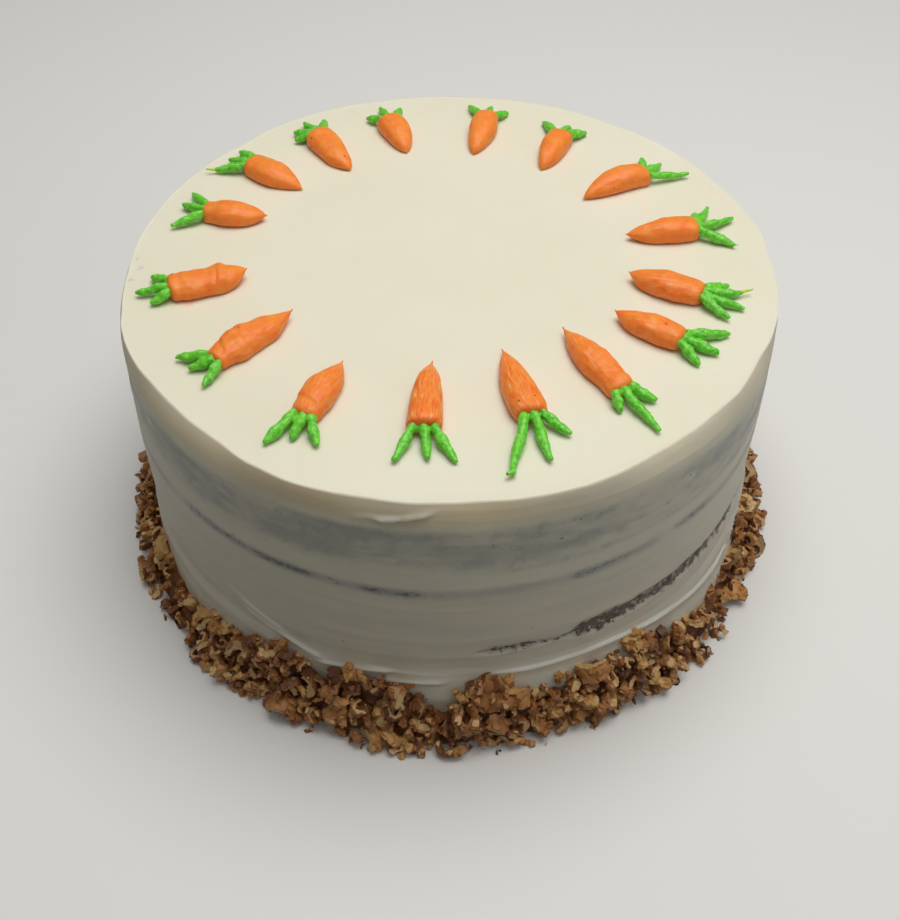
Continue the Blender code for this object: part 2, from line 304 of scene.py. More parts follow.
# raised smears, each with a painted highlight along its ridge: angle, level in mm, half width, rise in mm a
# degree, height and half thickness in mm
smears = ((-124, 37, 4, -0.75, 0.6, 0.7), (-119, 31.5, 6, -0.55, 0.7, 0.8), (-106, 27, 5, 0.25, 0.5, 0.8),
          (-96, 24.5, 4, 0.1, 0.5, 1.0), (-96.5, 101.6, 2.6, 0.42, 0.9, 0.5),
          (-101, 100.8, 1.6, 0.2, 0.5, 0.4), (-24, 29, 2, 2.4, 1.0, 1.0), (-18, 31, 2, 2.0, 0.9, 0.9),
          (-12, 27, 3, 1.2, 0.8, 1.0), (58, 33, 5, -0.5, 0.6, 0.8), (96, 29, 8, 0.3, 0.6, 0.9),
          (140, 36, 5, 0.6, 0.6, 0.8))
# thin places just under the rim: angle, half width, level in mm and strength
thinSpots = ((-155, 5, 91, 0.5), (-160, 3, 94, 0.45), (-149, 3, 88, 0.35))
# faint smudges on top: place in mm, reach in mm, strength and colour
topMarks = ((-83.5, -21.5, 2.2, 0.40, (0.93, 0.52, 0.28)), (-104, -9, 1.6, 0.45, (0.42, 0.41, 0.37)),
            (-102, -3, 1.2, 0.35, (0.46, 0.45, 0.40)), (-104, 2, 0.9, 0.35, (0.42, 0.41, 0.37)))


def windows(degrees, rows, softness, start):
    # the greatest of several bumps round the cake, at each angle
    value = np.full(np.shape(degrees), float(start))
    for centre, halfWidth, gain in rows:
        near = angleWindow(degrees, centre, halfWidth, softness)
        value = np.maximum(value, start + (gain - start) * near)
    return value


def sideMarks(turn, level):
    # what shows through the scraped side, at each place; distances are in millimetres
    degrees = turn * 360
    flat = level * 0
    lineAt = (level - icingCoat["lineLevel"]) / mm - 1.1 * bandNoise(turn, flat, 11, 1, 21)
    lineAt -= 0.3 * bandNoise(turn, flat, 60, 1, 22)
    lineForce = windows(degrees, lineDashes, 6, 0.10) + 0.14 * bandNoise(turn, flat, 40, 1, 23)

    streakAt = (level - icingCoat["streakLevel"]) / mm - 0.7 * bandNoise(turn, flat, 14, 1, 31)
    streakAt -= 2.2 * angleWindow(degrees, -30, 20, 22)
    streakAt -= 0.4 * bandNoise(turn, flat, 70, 1, 32)
    streakHalf = windows(degrees, crumbTears, 5, -2.6)
    streakHalf = streakHalf + 0.45 * bandNoise(turn, flat, 110, 1, 33)

    height = (level - icingCoat["bandLevel"]) / mm - 1.5 * bandNoise(turn, flat, 22, 1, 40)
    band = smoothStep(height, -12, -5) * smoothStep(-height, -11.5, -5.5)
    film = band * (0.46 + 0.25 * bandNoise(turn, level, 26, 4.5 * mm, 41)
                   + 0.20 * bandNoise(turn, level, 80, 2.0 * mm, 42)
                   + 0.16 * angleWindow(degrees, -112, 26, 18) + 0.06 * angleWindow(degrees, -35, 18, 14))
    film += 0.34 * np.exp(-((level - 79 * mm) / (1.6 * mm)) ** 2) * angleWindow(degrees, -55, 22, 14)
    film += 0.26 * lineForce * np.exp(-(lineAt / 4.5) ** 2)
    low = smoothStep(-level, -46 * mm, -30 * mm)
    film += 0.22 * low * (0.4 + 0.6 * bandNoise(turn, level, 18, 9 * mm, 44))
    film += 0.10 * bandNoise(turn, level, 14, 2.5 * mm, 45)
    film += 0.22 * band * np.maximum(bandNoise(turn, level, 190, 2.2 * mm, 47), 0)
    film += 0.22 * smoothStep(streakHalf, -1.5, 1.5) * np.exp(-(streakAt / 5) ** 2)
    for at, halfWidth, high, gain in thinSpots:
        film += gain * angleWindow(degrees, at, halfWidth, 3) * np.exp(-((level / mm - high) / 1.6) ** 2)

    # band just under the rim: partly the thicker icing's yellower tint, partly painted light, a warm glow
    # through the lip and shade where the edge rolls over
    rimTintAndLight = smoothStep(level / mm, 96.5, 101.5) * (0.72 + 0.28 * bandNoise(turn, level, 26, 3 * mm, 46))
    rimTintAndLight = rimTintAndLight * (0.40 + 0.60 * angleWindow(degrees, -122, 34, 24))

    paintedHighlight = flat + 0.0
    raised = flat + 0.0
    for at, high, halfWidth, slope, rise, thick in smears:
        away = (degrees - at + 180) % 360 - 180
        window = angleWindow(degrees, at, halfWidth, 2.5)
        ridge = np.exp(-((level / mm - high - slope * away) / thick) ** 2) * window
        raised = raised + 1.3 * rise * mm * ridge
        # paler paint along the smear's ridge is a painted highlight
        paintedHighlight = paintedHighlight + 0.9 * ridge
    ledgeAt = (level - icingCoat["ledgeLevel"]) / mm - 0.9 * bandNoise(turn, flat, 17, 1, 5)
    ledgeAt -= 0.25 * bandNoise(turn, flat, 70, 1, 7)
    ledgeAt += 8.0 * angleWindow(degrees, -25, 6, 34)
    strength = 0.10 + 0.20 * bandNoise(turn, flat, 20, 1, 6) + 0.85 * angleWindow(degrees, -51, 26, 10)
    strength = np.clip(strength + 0.25 * bandNoise(turn, flat, 75, 1, 10), 0, 1.2)
    lipShape = smoothStep(-ledgeAt, -0.35, 0.25) * np.exp(-np.clip(-ledgeAt, 0, 99) / 2.2)
    raised += icingCoat["ledge"] * strength * lipShape
    # painted highlight along the ledge's lip
    paintedHighlight += 1.3 * strength * np.exp(-((ledgeAt - 0.1) / 0.38) ** 2)
    below = smoothStep(-ledgeAt, 0, 14)
    raised += icingCoat["flare"] * below * (0.3 + 0.7 * angleWindow(degrees, -48, 36, 16))
    return dict(film=np.clip(film, 0, 1), lineAt=lineAt, lineForce=lineForce, streakAt=streakAt,
                streakHalf=streakHalf, rimTintAndLight=np.clip(rimTintAndLight, 0, 1), paintedHighlight=np.clip(paintedHighlight, 0, 1)), raised


def sideRadius(angles, levels):
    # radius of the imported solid's side, smoothed round the circle
    cad = mergedCopy("icing")
    tree = BVHTree.FromBMesh(cad)
    cad.free()
    sampleLevels = [z * mm for z in sideReading["levels"]]
    samples = sideReading["around"]
    reach = np.empty((len(sampleLevels), samples))
    for row, level in enumerate(sampleLevels):
        for i in range(samples):
            angle = math.tau * i / samples
            out = Vector((math.cos(angle), math.sin(angle), 0))
            hit = tree.ray_cast(out * 0.2 + Vector((0, 0, level)), -out)[0]
            reach[row, i] = hit.xy.length
    spectrum = np.fft.rfft(reach, axis=1)
    spectrum[:, sideReading["waves"]:] = 0
    columns = len(angles)
    padded = np.zeros((len(sampleLevels), columns // 2 + 1), complex)
    padded[:, :spectrum.shape[1]] = spectrum * (columns / samples)
    reach = np.fft.irfft(padded, columns, axis=1)
    return np.array([np.interp(levels, sampleLevels, reach[:, c]) for c in range(columns)]).T


def sideLevels():
    # levels of the rows up the side, closer together where the torn streak and the ledge are
    look = icingCoat
    levels = [step * mm for step in look["footRows"]]
    while levels[-1] < cakeTop - look["rimDrop"] - look["rowStep"]:
        fine = look["fineLow"] < levels[-1] < look["fineHigh"]
        levels.append(levels[-1] + (look["fineRow"] if fine else look["rowStep"]))
    return np.array(levels)


def strokeWaves(turn, level):
    waves = bandNoise(turn, level, 7, 1.6 * mm, 3) + 0.7 * bandNoise(turn, level, 13, 2.9 * mm, 4)
    return icingCoat["strokes"] * waves


def sideRows(turns, levels):
    # radius along each row of the side, and what shows there
    look = icingCoat
    turn, level = np.meshgrid(turns, levels)
    marks, raised = sideMarks(turn, level)
    out = look["wander"] * (0.6 * bandNoise(turn, level, 9, 30 * mm, 1)
                            + 0.4 * bandNoise(turn, level, 24, 12 * mm, 2))
    out += strokeWaves(turn, level)
    torn = smoothStep(marks["streakHalf"] - np.abs(marks["streakAt"]), -0.9, 0.5)
    crumbs = bandNoise(turn, level, 420, 1.3 * mm, 8) + 0.6 * bandNoise(turn, level, 230, 2.2 * mm, 9)
    out += torn * (look["crumbRelief"] * crumbs - look["dip"])
    out -= look["lineDip"] * marks["lineForce"] * np.exp(-(marks["lineAt"] / 1.1) ** 2)
    radius = sideRadius(turns * math.tau, levels) + out - look["filmDip"] * marks["film"] + raised
    return radius, marks


def rimEdge(turns):
    # radius of the crisp, slightly ragged edge, and the height of its lip
    look = icingCoat
    angles = turns * math.tau
    flat = 0 * turns
    edge = look["edgeRadius"] + look["ragged"] * (bandNoise(turns, flat, 30, 1, 61)
                                                  + bandNoise(turns, flat, 130, 1, 62))
    for waves, size, start in look["rimSway"]:
        edge += size * np.sin(waves * angles + start)
    for at, halfWidth, reach in rimBumps:
        edge += reach * mm * angleWindow(turns * 360, at, halfWidth, look["bumpSoftness"])
    lip = look["lip"] * (0.25 + 0.75 * np.abs(bandNoise(turns, flat, 46, 1, 63)))
    return edge, lip * (0.4 + angleWindow(turns * 360, -97, 22, 10))


def shoulderRows(turns, radius, level, edge, lip):
    # rings that lean in from the top row of the side to the edge
    bend = math.radians(icingCoat["rimBend"])
    count = icingCoat["shoulderRows"]
    rings = []
    ringMarks = []
    for step in range(1, count + 1):
        share = step / count
        inShare = (1 - math.cos(bend * share)) / (1 - math.cos(bend))
        rise = level + (cakeTop - level) * math.sin(bend * share) / math.sin(bend) + 0 * turns
        marks, raised = sideMarks(turns, rise)
        fade = 1 - share ** 8
        across = radius + (edge - radius) * inShare + strokeWaves(turns, rise) + raised * fade
        rings.append((across, rise + (lip if step == count else 0)))
        ringMarks.append([marks[name] * (fade if name in ("film", "rimTintAndLight", "paintedHighlight") else 1) for name in marks])
    return rings, ringMarks


def topHeight(turn, distance):
    # level of the top: broad waves, and fine scraping near the front edge
    wave = bandNoise(turn, distance, 9, 25 * mm, 71) * smoothStep(distance, 8 * mm, 30 * mm)
    outer = smoothStep(distance, 35 * mm, 60 * mm)
    wave = wave + 0.5 * bandNoise(turn, distance, 22, 9 * mm, 72) * outer
    scrape = bandNoise(turn, distance, 7, 0.9 * mm, 73) * smoothStep(distance, 96 * mm, 102 * mm)
    scrape = scrape * angleWindow(turn * 360, -95, 34, 16)
    return cakeTop - icingCoat["topDrop"] + icingCoat["topWave"] * (wave + 0.9 * scrape)


def topRows(turns, edgeRadius, lip):
    # rings towards the middle, halved in number of points where they get small
    rings = []
    for step in topRings["steps"]:
        distance = edgeRadius - step * mm
        rings.append((distance, topHeight(turns, distance) + lip * math.exp(-(step / 1.1) ** 2)))
    strides = [1] * len(rings)
    stride = 1
    distance = topRings["start"]
    while distance > topRings["end"]:
        if stride < 8 and distance < topRings["halving"][int(math.log2(stride))]:
            stride *= 2
        reach = np.full(len(turns) // stride, distance)
        rings.append((reach, topHeight(turns[::stride], reach)))
        strides.append(stride)
        distance -= 3.2 * mm if distance > 0.03 else 2.6 * mm
    return rings, strides


def ringFaces(starts, counts):
    # quads between equal rings, triangles where the number of points halves
    faces = []
    for a, b, count, nextCount in zip(starts, starts[1:], counts, counts[1:]):
        if count == nextCount:
            faces += [(a + i, a + (i + 1) % count, b + (i + 1) % count, b + i) for i in range(count)]
            continue
        for i in range(nextCount):
            j, k, m = 2 * i, 2 * i + 1, (2 * i + 2) % count
            faces.append((a + j, a + k, b + i))
            faces.append((a + k, b + (i + 1) % nextCount, b + i))
            faces.append((a + k, a + m, b + (i + 1) % nextCount))
    return faces


def icingUnderside(angles, foot):
    # inner wall and ceiling, open below; foot is the first new point
    columns = len(angles)
    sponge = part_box("sponge_top")[1]
    radius = sponge.x + icingCoat["innerGap"]
    points = [np.column_stack((radius * np.cos(angles), radius * np.sin(angles), np.full(columns, level)))
              for level in (0.0, sponge.z + icingCoat["ceilingGap"])]
    faces = [(i, foot + i, foot + (i + 1) % columns, (i + 1) % columns) for i in range(columns)]
    faces += [(foot + i, foot + columns + i, foot + columns + (i + 1) % columns, foot + (i + 1) % columns)
              for i in range(columns)]
    faces.append([foot + columns + i for i in reversed(range(columns))])
    return points, faces


def icingMesh():
    columns = icingCoat["columns"]
    turns = np.arange(columns) / columns
    angles = turns * math.tau
    levels = sideLevels()
    radius, side = sideRows(turns, levels)
    edge, lip = rimEdge(turns)
    shoulder, shoulderMarks = shoulderRows(turns, radius[-1], levels[-1], edge, lip)
    top, topStrides = topRows(turns, shoulder[-1][0], lip)
    unmarked = dict(lineAt=30.0, streakAt=30.0, streakHalf=-3.0)
    clean = [np.full(columns, unmarked.get(name, 0.0)) for name in side]
    rings = [(radius[row], np.full(columns, level)) for row, level in enumerate(levels)] + shoulder + top
    ringMarks = [[side[name][row] for name in side] for row in range(len(levels))] + shoulderMarks
    ringMarks += [[values[::stride] for values in clean] for stride in topStrides]
    strides = [1] * (len(levels) + len(shoulder)) + topStrides

    vertices = []
    for (ringRadius, ringLevel), stride in zip(rings, strides):
        around = angles[::stride]
        vertices.append(np.column_stack((ringRadius * np.cos(around), ringRadius * np.sin(around),
                                         np.broadcast_to(ringLevel, around.shape))))
    counts = [columns // stride for stride in strides]
    starts = [sum(counts[:index]) for index in range(len(counts))]
    middle = sum(counts)
    faces = ringFaces(starts, counts)
    vertices.append(np.array([[0, 0, topHeight(np.array([0.0]), np.array([0.0]))[0]]]))
    faces += [(starts[-1] + i, starts[-1] + (i + 1) % counts[-1], middle) for i in range(counts[-1])]
    under, underFaces = icingUnderside(angles, middle + 1)

    mesh = bpy.data.meshes.new("icing_coat")
    mesh.from_pydata(np.vstack(vertices + under), [], faces + underFaces)
    extra = len(mesh.vertices) - middle
    for index, name in enumerate(side):
        values = [marks[index] for marks in ringMarks] + [np.full(extra, clean[index][0])]
        storeFloat(mesh, name, np.concatenate(values))
    mesh.shade_smooth()
    return mesh


def icingMaterial():
    tones = icingTones
    material, tree, shader, place = newMaterial("icing", 0.48, 0.4)
    softBody(shader, 0.35, (1.0, 0.62, 0.35), 3.2 * mm)
    flat = addNode(tree, "ShaderNodeMapping", {0: place, 3: (1, 1, 4.5)}).outputs[0]
    height = addNode(tree, "ShaderNodeSeparateXYZ", {0: place}).outputs["Z"]
    onTop = softStep(tree, height, cakeTop - 1.6 * mm, cakeTop - 0.5 * mm)

    patches = grain(tree, place, 45 * mm, 2)
    cream = blendColours(tree, softStep(tree, patches, 0.3, 0.7), tones["cream"], tones["creamShade"])
    side = blendColours(tree, softStep(tree, grain(tree, flat, 28 * mm, 3), 0.3, 0.7),
                        tones["side"], tones["sideShade"])
    colour = blendColours(tree, onTop, side, cream)
    # band under the rim: the thicker icing's tint with a painted glow and painted shade
    colour = blendColours(tree, calc(tree, "MULTIPLY", attribute(tree, "rimTintAndLight"), 0.85), colour,
                          tones["rimTintAndPaintedLight"])

    # sponge seen through a thin film of icing
    flatter = addNode(tree, "ShaderNodeMapping", {0: place, 3: (1, 1, 2)}).outputs[0]
    mottle = grain(tree, flatter, 8 * mm, 5, 0.66)
    blots = softStep(tree, grain(tree, place, 4.0 * mm, 4, 0.6), 0.54, 0.68, 0.45)
    film = calc(tree, "MULTIPLY_ADD", calc(tree, "SUBTRACT", mottle, 0.5), 0.6, attribute(tree, "film"))
    film = calc(tree, "MULTIPLY_ADD", blots, attribute(tree, "film"), film)
    colour = blendColours(tree, softStep(tree, film, 0.06, 1.05), colour, tones["film"])

    # thin dashed line where two layers meet, with a soft halo
    fine = grain(tree, flat, 2.2 * mm, 4, 0.7)
    ragged = calc(tree, "MULTIPLY_ADD", calc(tree, "SUBTRACT", fine, 0.5), 2.6, attribute(tree, "lineAt"))
    away = calc(tree, "ABSOLUTE", ragged)
    force = attribute(tree, "lineForce")
    halo = calc(tree, "MULTIPLY", softStep(tree, away, 3.6, 0.0), calc(tree, "MULTIPLY", force, 0.95))
    colour = blendColours(tree, halo, colour, tones["lineHalo"])
    clots = calc(tree, "MULTIPLY_ADD", grain(tree, place, 2.6 * mm, 4, 0.65), 2.2,
                 calc(tree, "SUBTRACT", force, 1.35))
    dark = calc(tree, "MULTIPLY", softStep(tree, away, 1.9, 0.2), softStep(tree, clots, 0.34, 0.80, 0.85))
    colour = blendColours(tree, dark, colour, tones["line"])

    # crumb where the scraper tore the icing away
    rough = grain(tree, place, 2.7 * mm, 5, 0.68)
    inside = calc(tree, "SUBTRACT", attribute(tree, "streakHalf"),
                  calc(tree, "ABSOLUTE", attribute(tree, "streakAt")))
    most = calc(tree, "MINIMUM", inside, 1.5)
    streak = calc(tree, "MULTIPLY_ADD", calc(tree, "SUBTRACT", rough, 0.52), 11.0, most)
    crumbTone = softStep(tree, grain(tree, place, 1.0 * mm, 3, 0.6), 0.38, 0.62)
    crumb = blendColours(tree, crumbTone, tones["crumb"], tones["crumbLight"])
    veil = softStep(tree, calc(tree, "MULTIPLY_ADD", rough, 3.0, inside), -1.2, 2.2, 0.45)
    colour = blendColours(tree, veil, colour, tones["veil"])
    colour = blendColours(tree, softStep(tree, streak, -0.3, 1.0, 0.95), colour, crumb)

    # odd specks of crumb, more of them in the film, few and faint on top
    cells = addNode(tree, "ShaderNodeTexVoronoi", {"Vector": place, "Scale": 1 / (6.5 * mm)})
    chance = addNode(tree, "ShaderNodeSeparateColor", {0: cells.outputs["Color"]})
    likely = calc(tree, "MULTIPLY_ADD", attribute(tree, "film"), 0.5, chance.outputs[0])
    rare = softStep(tree, likely, 0.93, 1.05)
    size = calc(tree, "MULTIPLY_ADD", chance.outputs[1], 0.07, 0.04)
    dot = softStep(tree, calc(tree, "SUBTRACT", size, cells.outputs["Distance"]), -0.04, 0.04)
    seen = calc(tree, "MULTIPLY", dot, calc(tree, "MULTIPLY", rare, calc(tree, "SUBTRACT", 1.0, onTop)))
    colour = blendColours(tree, calc(tree, "MULTIPLY", seen, 0.8), colour, tones["speck"])
    faint = calc(tree, "MULTIPLY", calc(tree, "MULTIPLY", dot, onTop),
                 softStep(tree, chance.outputs[2], 0.93, 0.97))
    colour = blendColours(tree, calc(tree, "MULTIPLY", faint, 0.30), colour, tones["faintSpeck"])
    # painted highlight on the smears' ridges and the ledge's lip
    colour = blendColours(tree, calc(tree, "MULTIPLY", attribute(tree, "paintedHighlight"), 0.9), colour,
                          tones["highlightTone"])
    for x, y, reach, strength, tone in topMarks:
        gap = addNode(tree, "ShaderNodeVectorMath", {0: place, 1: (x * mm, y * mm, cakeTop)},
                      operation="DISTANCE")
        ragged = calc(tree, "MULTIPLY_ADD", calc(tree, "SUBTRACT", fine, 0.5), 5 * mm, gap.outputs["Value"])
        mark = softStep(tree, ragged, reach * mm, 0.4 * reach * mm, strength)
        colour = blendColours(tree, mark, colour, tone)
    tree.links.new(colour, shader.inputs["Base Color"])

    pressed = addNode(tree, "ShaderNodeMapping", {0: place, 3: (1, 1, 14)}).outputs[0]
    strokes = grain(tree, pressed, 14 * mm, 4)
    pores = grain(tree, place, 0.8 * mm, 2)
    height = calc(tree, "MULTIPLY_ADD", pores, 0.12, strokes)
    height = calc(tree, "MULTIPLY_ADD", softStep(tree, streak, 0.0, 0.6), rough, height)
    addBump(tree, shader, height, 0.35, 0.25 * mm)
    return material


layers = dict(columns=180, crumbRelief=0.5 * mm, crumbRows=14, crumbPits=2.5 * mm, creamRelief=0.3 * mm,
              creamRows=3, creamPits=6 * mm, sponge=(0.16, 0.075, 0.038), spongeLight=(0.36, 0.19, 0.10),
              fleck=(0.48, 0.20, 0.05), cream=(0.80, 0.76, 0.60), creamShade=(0.74, 0.69, 0.53))


def spongeMaterial():
    material, tree, shader, place = newMaterial("sponge", 0.9, 0.2)
    tone = grain(tree, place, 2.5 * mm, 5, 0.65)
    colour = blendColours(tree, softStep(tree, tone, 0.35, 0.65), layers["sponge"], layers["spongeLight"])
    fleck = softStep(tree, grain(tree, place, 6 * mm, 2), 0.62, 0.68)
    tree.links.new(blendColours(tree, fleck, colour, layers["fleck"]), shader.inputs["Base Color"])
    addBump(tree, shader, tone, 0.6, 0.6 * mm)
    return material


def fillingMaterial():
    material, tree, shader, place = newMaterial("filling", 0.5, 0.4)
    tone = grain(tree, place, 6 * mm, 3)
    tree.links.new(blendColours(tree, tone, layers["cream"], layers["creamShade"]),
                   shader.inputs["Base Color"])
    softBody(shader, 0.3, (1.0, 0.62, 0.35), 3 * mm)
    return material


def layerMesh(nodeName, relief, rows, pits):
    # a round layer whose side and faces are broken up by pores
    low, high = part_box(nodeName)
    radius = high.x - 0.3 * mm
    columns = layers["columns"]
    angles = np.arange(columns) / columns * math.tau
    profile = [(radius * share, low.z) for share in (0.2, 0.4, 0.6, 0.8, 0.93)]
    profile += [(radius, low.z + (high.z - low.z) * row / rows) for row in range(rows + 1)]
    profile += [(radius * share, high.z) for share in (0.93, 0.6, 0.2)]
    vertices = [(0, 0, low.z)]
    for reach, level in profile:
        vertices += [(reach * math.cos(a), reach * math.sin(a), level) for a in angles]
    vertices.append((0, 0, high.z))
    faces = [(0, 1 + (i + 1) % columns, 1 + i) for i in range(columns)]
    for ring in range(len(profile) - 1):
        a = 1 + ring * columns
        faces += [(a + i, a + (i + 1) % columns, a + columns + (i + 1) % columns, a + columns + i)
                  for i in range(columns)]
    top = 1 + (len(profile) - 1) * columns
    faces += [(top + i, top + (i + 1) % columns, len(vertices) - 1) for i in range(columns)]
    mesh = bpy.data.meshes.new(nodeName + "_crumb")
    mesh.from_pydata(vertices, [], faces)
    places = coordinates(mesh)
    for i, place in enumerate(places):
        depth = relief * 0.5 * (1 + noise.noise(Vector(place) / pits))
        distance = math.hypot(place[0], place[1])
        if distance > radius * 0.97:
            places[i, :2] *= (distance - depth) / distance
        elif place[2] < (low.z + high.z) / 2:
            places[i, 2] += depth
        else:
            places[i, 2] -= depth
    setCoordinates(mesh, places)
    mesh.shade_smooth()
    return mesh


def makeLayers():
    crumb = spongeMaterial()
    cream = fillingMaterial()
    for nodeName in ("sponge_bottom", "sponge_middle", "sponge_top"):
        mesh = layerMesh(nodeName, layers["crumbRelief"], layers["crumbRows"], layers["crumbPits"])
        meshObject(nodeName + "_crumb", mesh, crumb, [nodeName])
    for nodeName in ("filling_lower", "filling_upper"):
        mesh = layerMesh(nodeName, layers["creamRelief"], layers["creamRows"], layers["creamPits"])
        meshObject(nodeName + "_cream", mesh, cream, [nodeName])
    print("sponge and filling ready")


walnuts = dict(seed=7, columns=180, footLimit=124.6 * mm, coreFoot=5.5 * mm, coreCrest=0.66,
               relief=1.5 * mm, apron=2.4 * mm, ground=0.0001, voxel=0.034, sharpEdge=40,
               outline=((0.0, 0.96), (0.26, 1.0), (0.58, 0.70), (0.86, 0.34), (1.0, 0.06)))
nutTones = dict(skinDark=(0.120, 0.038, 0.012), skinLight=(0.600, 0.335, 0.112), vein=(0.130, 0.042, 0.014),
                flesh=(0.540, 0.325, 0.128), fleshLight=(0.700, 0.490, 0.240),
                fleshDark=(0.370, 0.190, 0.066),
                skin=((0.22, (0.240, 0.086, 0.024)), (0.48, (0.375, 0.150, 0.041)),
                      (0.75, (0.490, 0.235, 0.072))))
# how tall the bank stands against its packed outline, as centre, half width and share
bankShares = ((-84, 4, 1.34), (-103, 5, 1.30), (-119, 4, 1.20), (-60, 5, 1.22), (-112, 4, 1.08),
              (-128, 5, 0.96), (-70, 6, 1.08), (-52, 4, 1.00), (-44, 5, 0.80), (-166, 12, 0.98),
              (-8, 14, 0.95), (40, 30, 0.88), (100, 25, 0.98), (160, 20, 0.92))
# where it dips, as centre, half width and share lost
bankDips = ((-91, 1.5, 0.34), (-76, 1.5, 0.16), (-147, 2, 0.20), (-36, 6, 0.12))
nutKinds = (
    dict(name="walnut_kernels", variants=24, faces=440, spacing=6.0, amount=30000, small=0.0085,
         large=0.0142, sink=0.0030, lift=0.0014, tilt=0.8, apron=False, seed=3,
         styles=("curl", "curl", "chunk", "curl", "slab")),
    dict(name="walnut_pieces", variants=16, faces=150, spacing=4.4, amount=60000, small=0.0055,
         large=0.0090, sink=0.0024, lift=0.0012, tilt=1.2, apron=False, seed=5,
         styles=("curl", "curl", "chunk")),
    dict(name="walnut_chips", variants=10, faces=44, spacing=4.4, amount=22000, small=0.0030,
         large=0.0054, sink=0.0012, lift=0.0004, tilt=3.1, apron=True, seed=8,
         styles=("chunk", "chunk", "slab")),
    dict(name="walnut_crumbs", variants=6, faces=16, spacing=5.0, amount=12000, small=0.0010,
         large=0.0020, sink=0.0004, lift=0.0002, tilt=3.1, apron=True, seed=13, styles=("chunk",)),
)
largeNut = dict(size=20 * mm, faces=520, angle=-83.5, reach=113.6 * mm, level=21 * mm, seed=44, tint=0.46)


def lump(bm, centre, axes, turn, detail=2):
    made = bmesh.ops.create_icosphere(bm, subdivisions=detail, radius=1)
    change = Matrix.Translation(centre) @ turn.to_matrix().to_4x4() @ Matrix.Diagonal((*axes, 1))
    bmesh.ops.transform(bm, matrix=change, verts=made["verts"])


def nutBody(rng, style):
    # the unbroken form, about one unit long, and the directions that it breaks along
    bm = bmesh.new()
    upward = Vector((0, 0, 1))
    if style == "curl":
        sweep = rng.uniform(2.6, 5.2)
        reach = rng.uniform(0.28, 0.34)
        squash = rng.uniform(0.65, 1.0)
        tall = rng.uniform(1.5, 2.4)
        thick = rng.uniform(0.105, 0.145)
        beads = 14
        for i in range(beads):
            angle = sweep * (i / (beads - 1) - 0.5)
            size = thick * (1 + 0.35 * math.sin(i * 1.9 + sweep) + rng.uniform(-0.1, 0.1))
            at = Vector((reach * math.cos(angle), squash * reach * math.sin(angle), 0.05 * math.sin(i)))
            lump(bm, at, (size, size * 1.25, size * tall), Euler((0, 0, angle)))
        breaks = [(upward, rng.uniform(0.3, 0.7)), (-upward, rng.uniform(0.3, 0.7))]
    elif style == "slab":
        bow = rng.uniform(0.3, 0.9)
        for i in range(16):
            x, y = rng.uniform(-0.38, 0.38), rng.uniform(-0.27, 0.27)
            size = rng.uniform(0.10, 0.16)
            lump(bm, Vector((x, y, bow * (x * x + y * y))),
                 (size, size * rng.uniform(0.7, 1.3), size * 0.8),
                 Euler((rng.uniform(-0.5, 0.5), rng.uniform(-0.5, 0.5), rng.uniform(0, 3))))
        lump(bm, Vector((0, 0, 0.02)), (0.33, 0.24, 0.11), Euler((0, 0, 0)))
        breaks = [(Vector((rng.gauss(0, 1), rng.gauss(0, 1), rng.gauss(0, 0.3))).normalized(),
                   rng.uniform(0.6, 0.85))
                  for i in range(2)]
    else:
        for i in range(9):
            at = Vector([rng.uniform(-0.29, 0.29) for axis in range(3)])
            size = rng.uniform(0.13, 0.21)
            lump(bm, at, (size, size * rng.uniform(0.7, 1.0), size * rng.uniform(0.65, 0.95)),
                 Euler([rng.uniform(0, 6) for axis in range(3)]))
        breaks = [(Vector([rng.gauss(0, 1) for axis in range(3)]).normalized(), rng.uniform(0.5, 0.85))
                  for i in range(rng.choice((2, 3)))]
    mesh = bpy.data.meshes.new("nut")
    bm.to_mesh(mesh)
    bm.free()
    return mesh, breaks


def nutShape(rng, faces, style):
    # wrinkled skin over the body, then pale flat faces where it broke, marked by the attribute cut
    mesh, breaks = nutBody(rng, style)
    mesh = throughModifiers(mesh, ("REMESH", dict(mode="VOXEL", voxel_size=walnuts["voxel"])))
    places = coordinates(mesh)
    shift = Vector([rng.uniform(-9, 9) for axis in range(3)])
    normals = np.array([v.normal for v in mesh.vertices])
    swell = []
    for place in places:
        spot = Vector(place) + shift
        crease = max(0.0, 1 - 5 * abs(noise.noise(spot * 5.5)))
        swell.append(0.06 * noise.noise(spot * 4.5) - 0.065 * crease + 0.035 * noise.noise(spot * 13))
    setCoordinates(mesh, places + normals * np.array(swell)[:, None])
    ratio = min(1.0, faces / (len(mesh.polygons) * 2))
    mesh = throughModifiers(mesh, ("DECIMATE", dict(decimate_type="COLLAPSE", ratio=ratio)))
    bm = bmesh.new()
    bm.from_mesh(mesh)
    cut = bm.verts.layers.float.new("cut")
    for normal, share in breaks:
        furthest = max(v.co.dot(normal) for v in bm.verts)
        nearest = min(v.co.dot(normal) for v in bm.verts)
        level = normal * (furthest - (furthest - nearest) * 0.5 * (1 - share))
        geometry = bm.verts[:] + bm.edges[:] + bm.faces[:]
        result = bmesh.ops.bisect_plane(bm, geom=geometry, plane_co=level, plane_no=normal,
                                        clear_outer=True)
        rim = [g for g in result["geom_cut"] if isinstance(g, bmesh.types.BMEdge)]
        filled = bmesh.ops.holes_fill(bm, edges=rim, sides=0)["faces"]
        if not filled:
            continue
        bmesh.ops.inset_region(bm, faces=filled, thickness=0.018, depth=rng.uniform(-0.012, 0.006))
        for face in filled:
            for vert in face.verts:
                vert[cut] = 1.0
    bmesh.ops.triangulate(bm, faces=bm.faces)
    bmesh.ops.recalc_face_normals(bm, faces=bm.faces)
    result = bpy.data.meshes.new("nut")
    bm.to_mesh(result)
    bm.free()
    result.shade_smooth()
    result.set_sharp_from_angle(angle=math.radians(walnuts["sharpEdge"]))
    return result


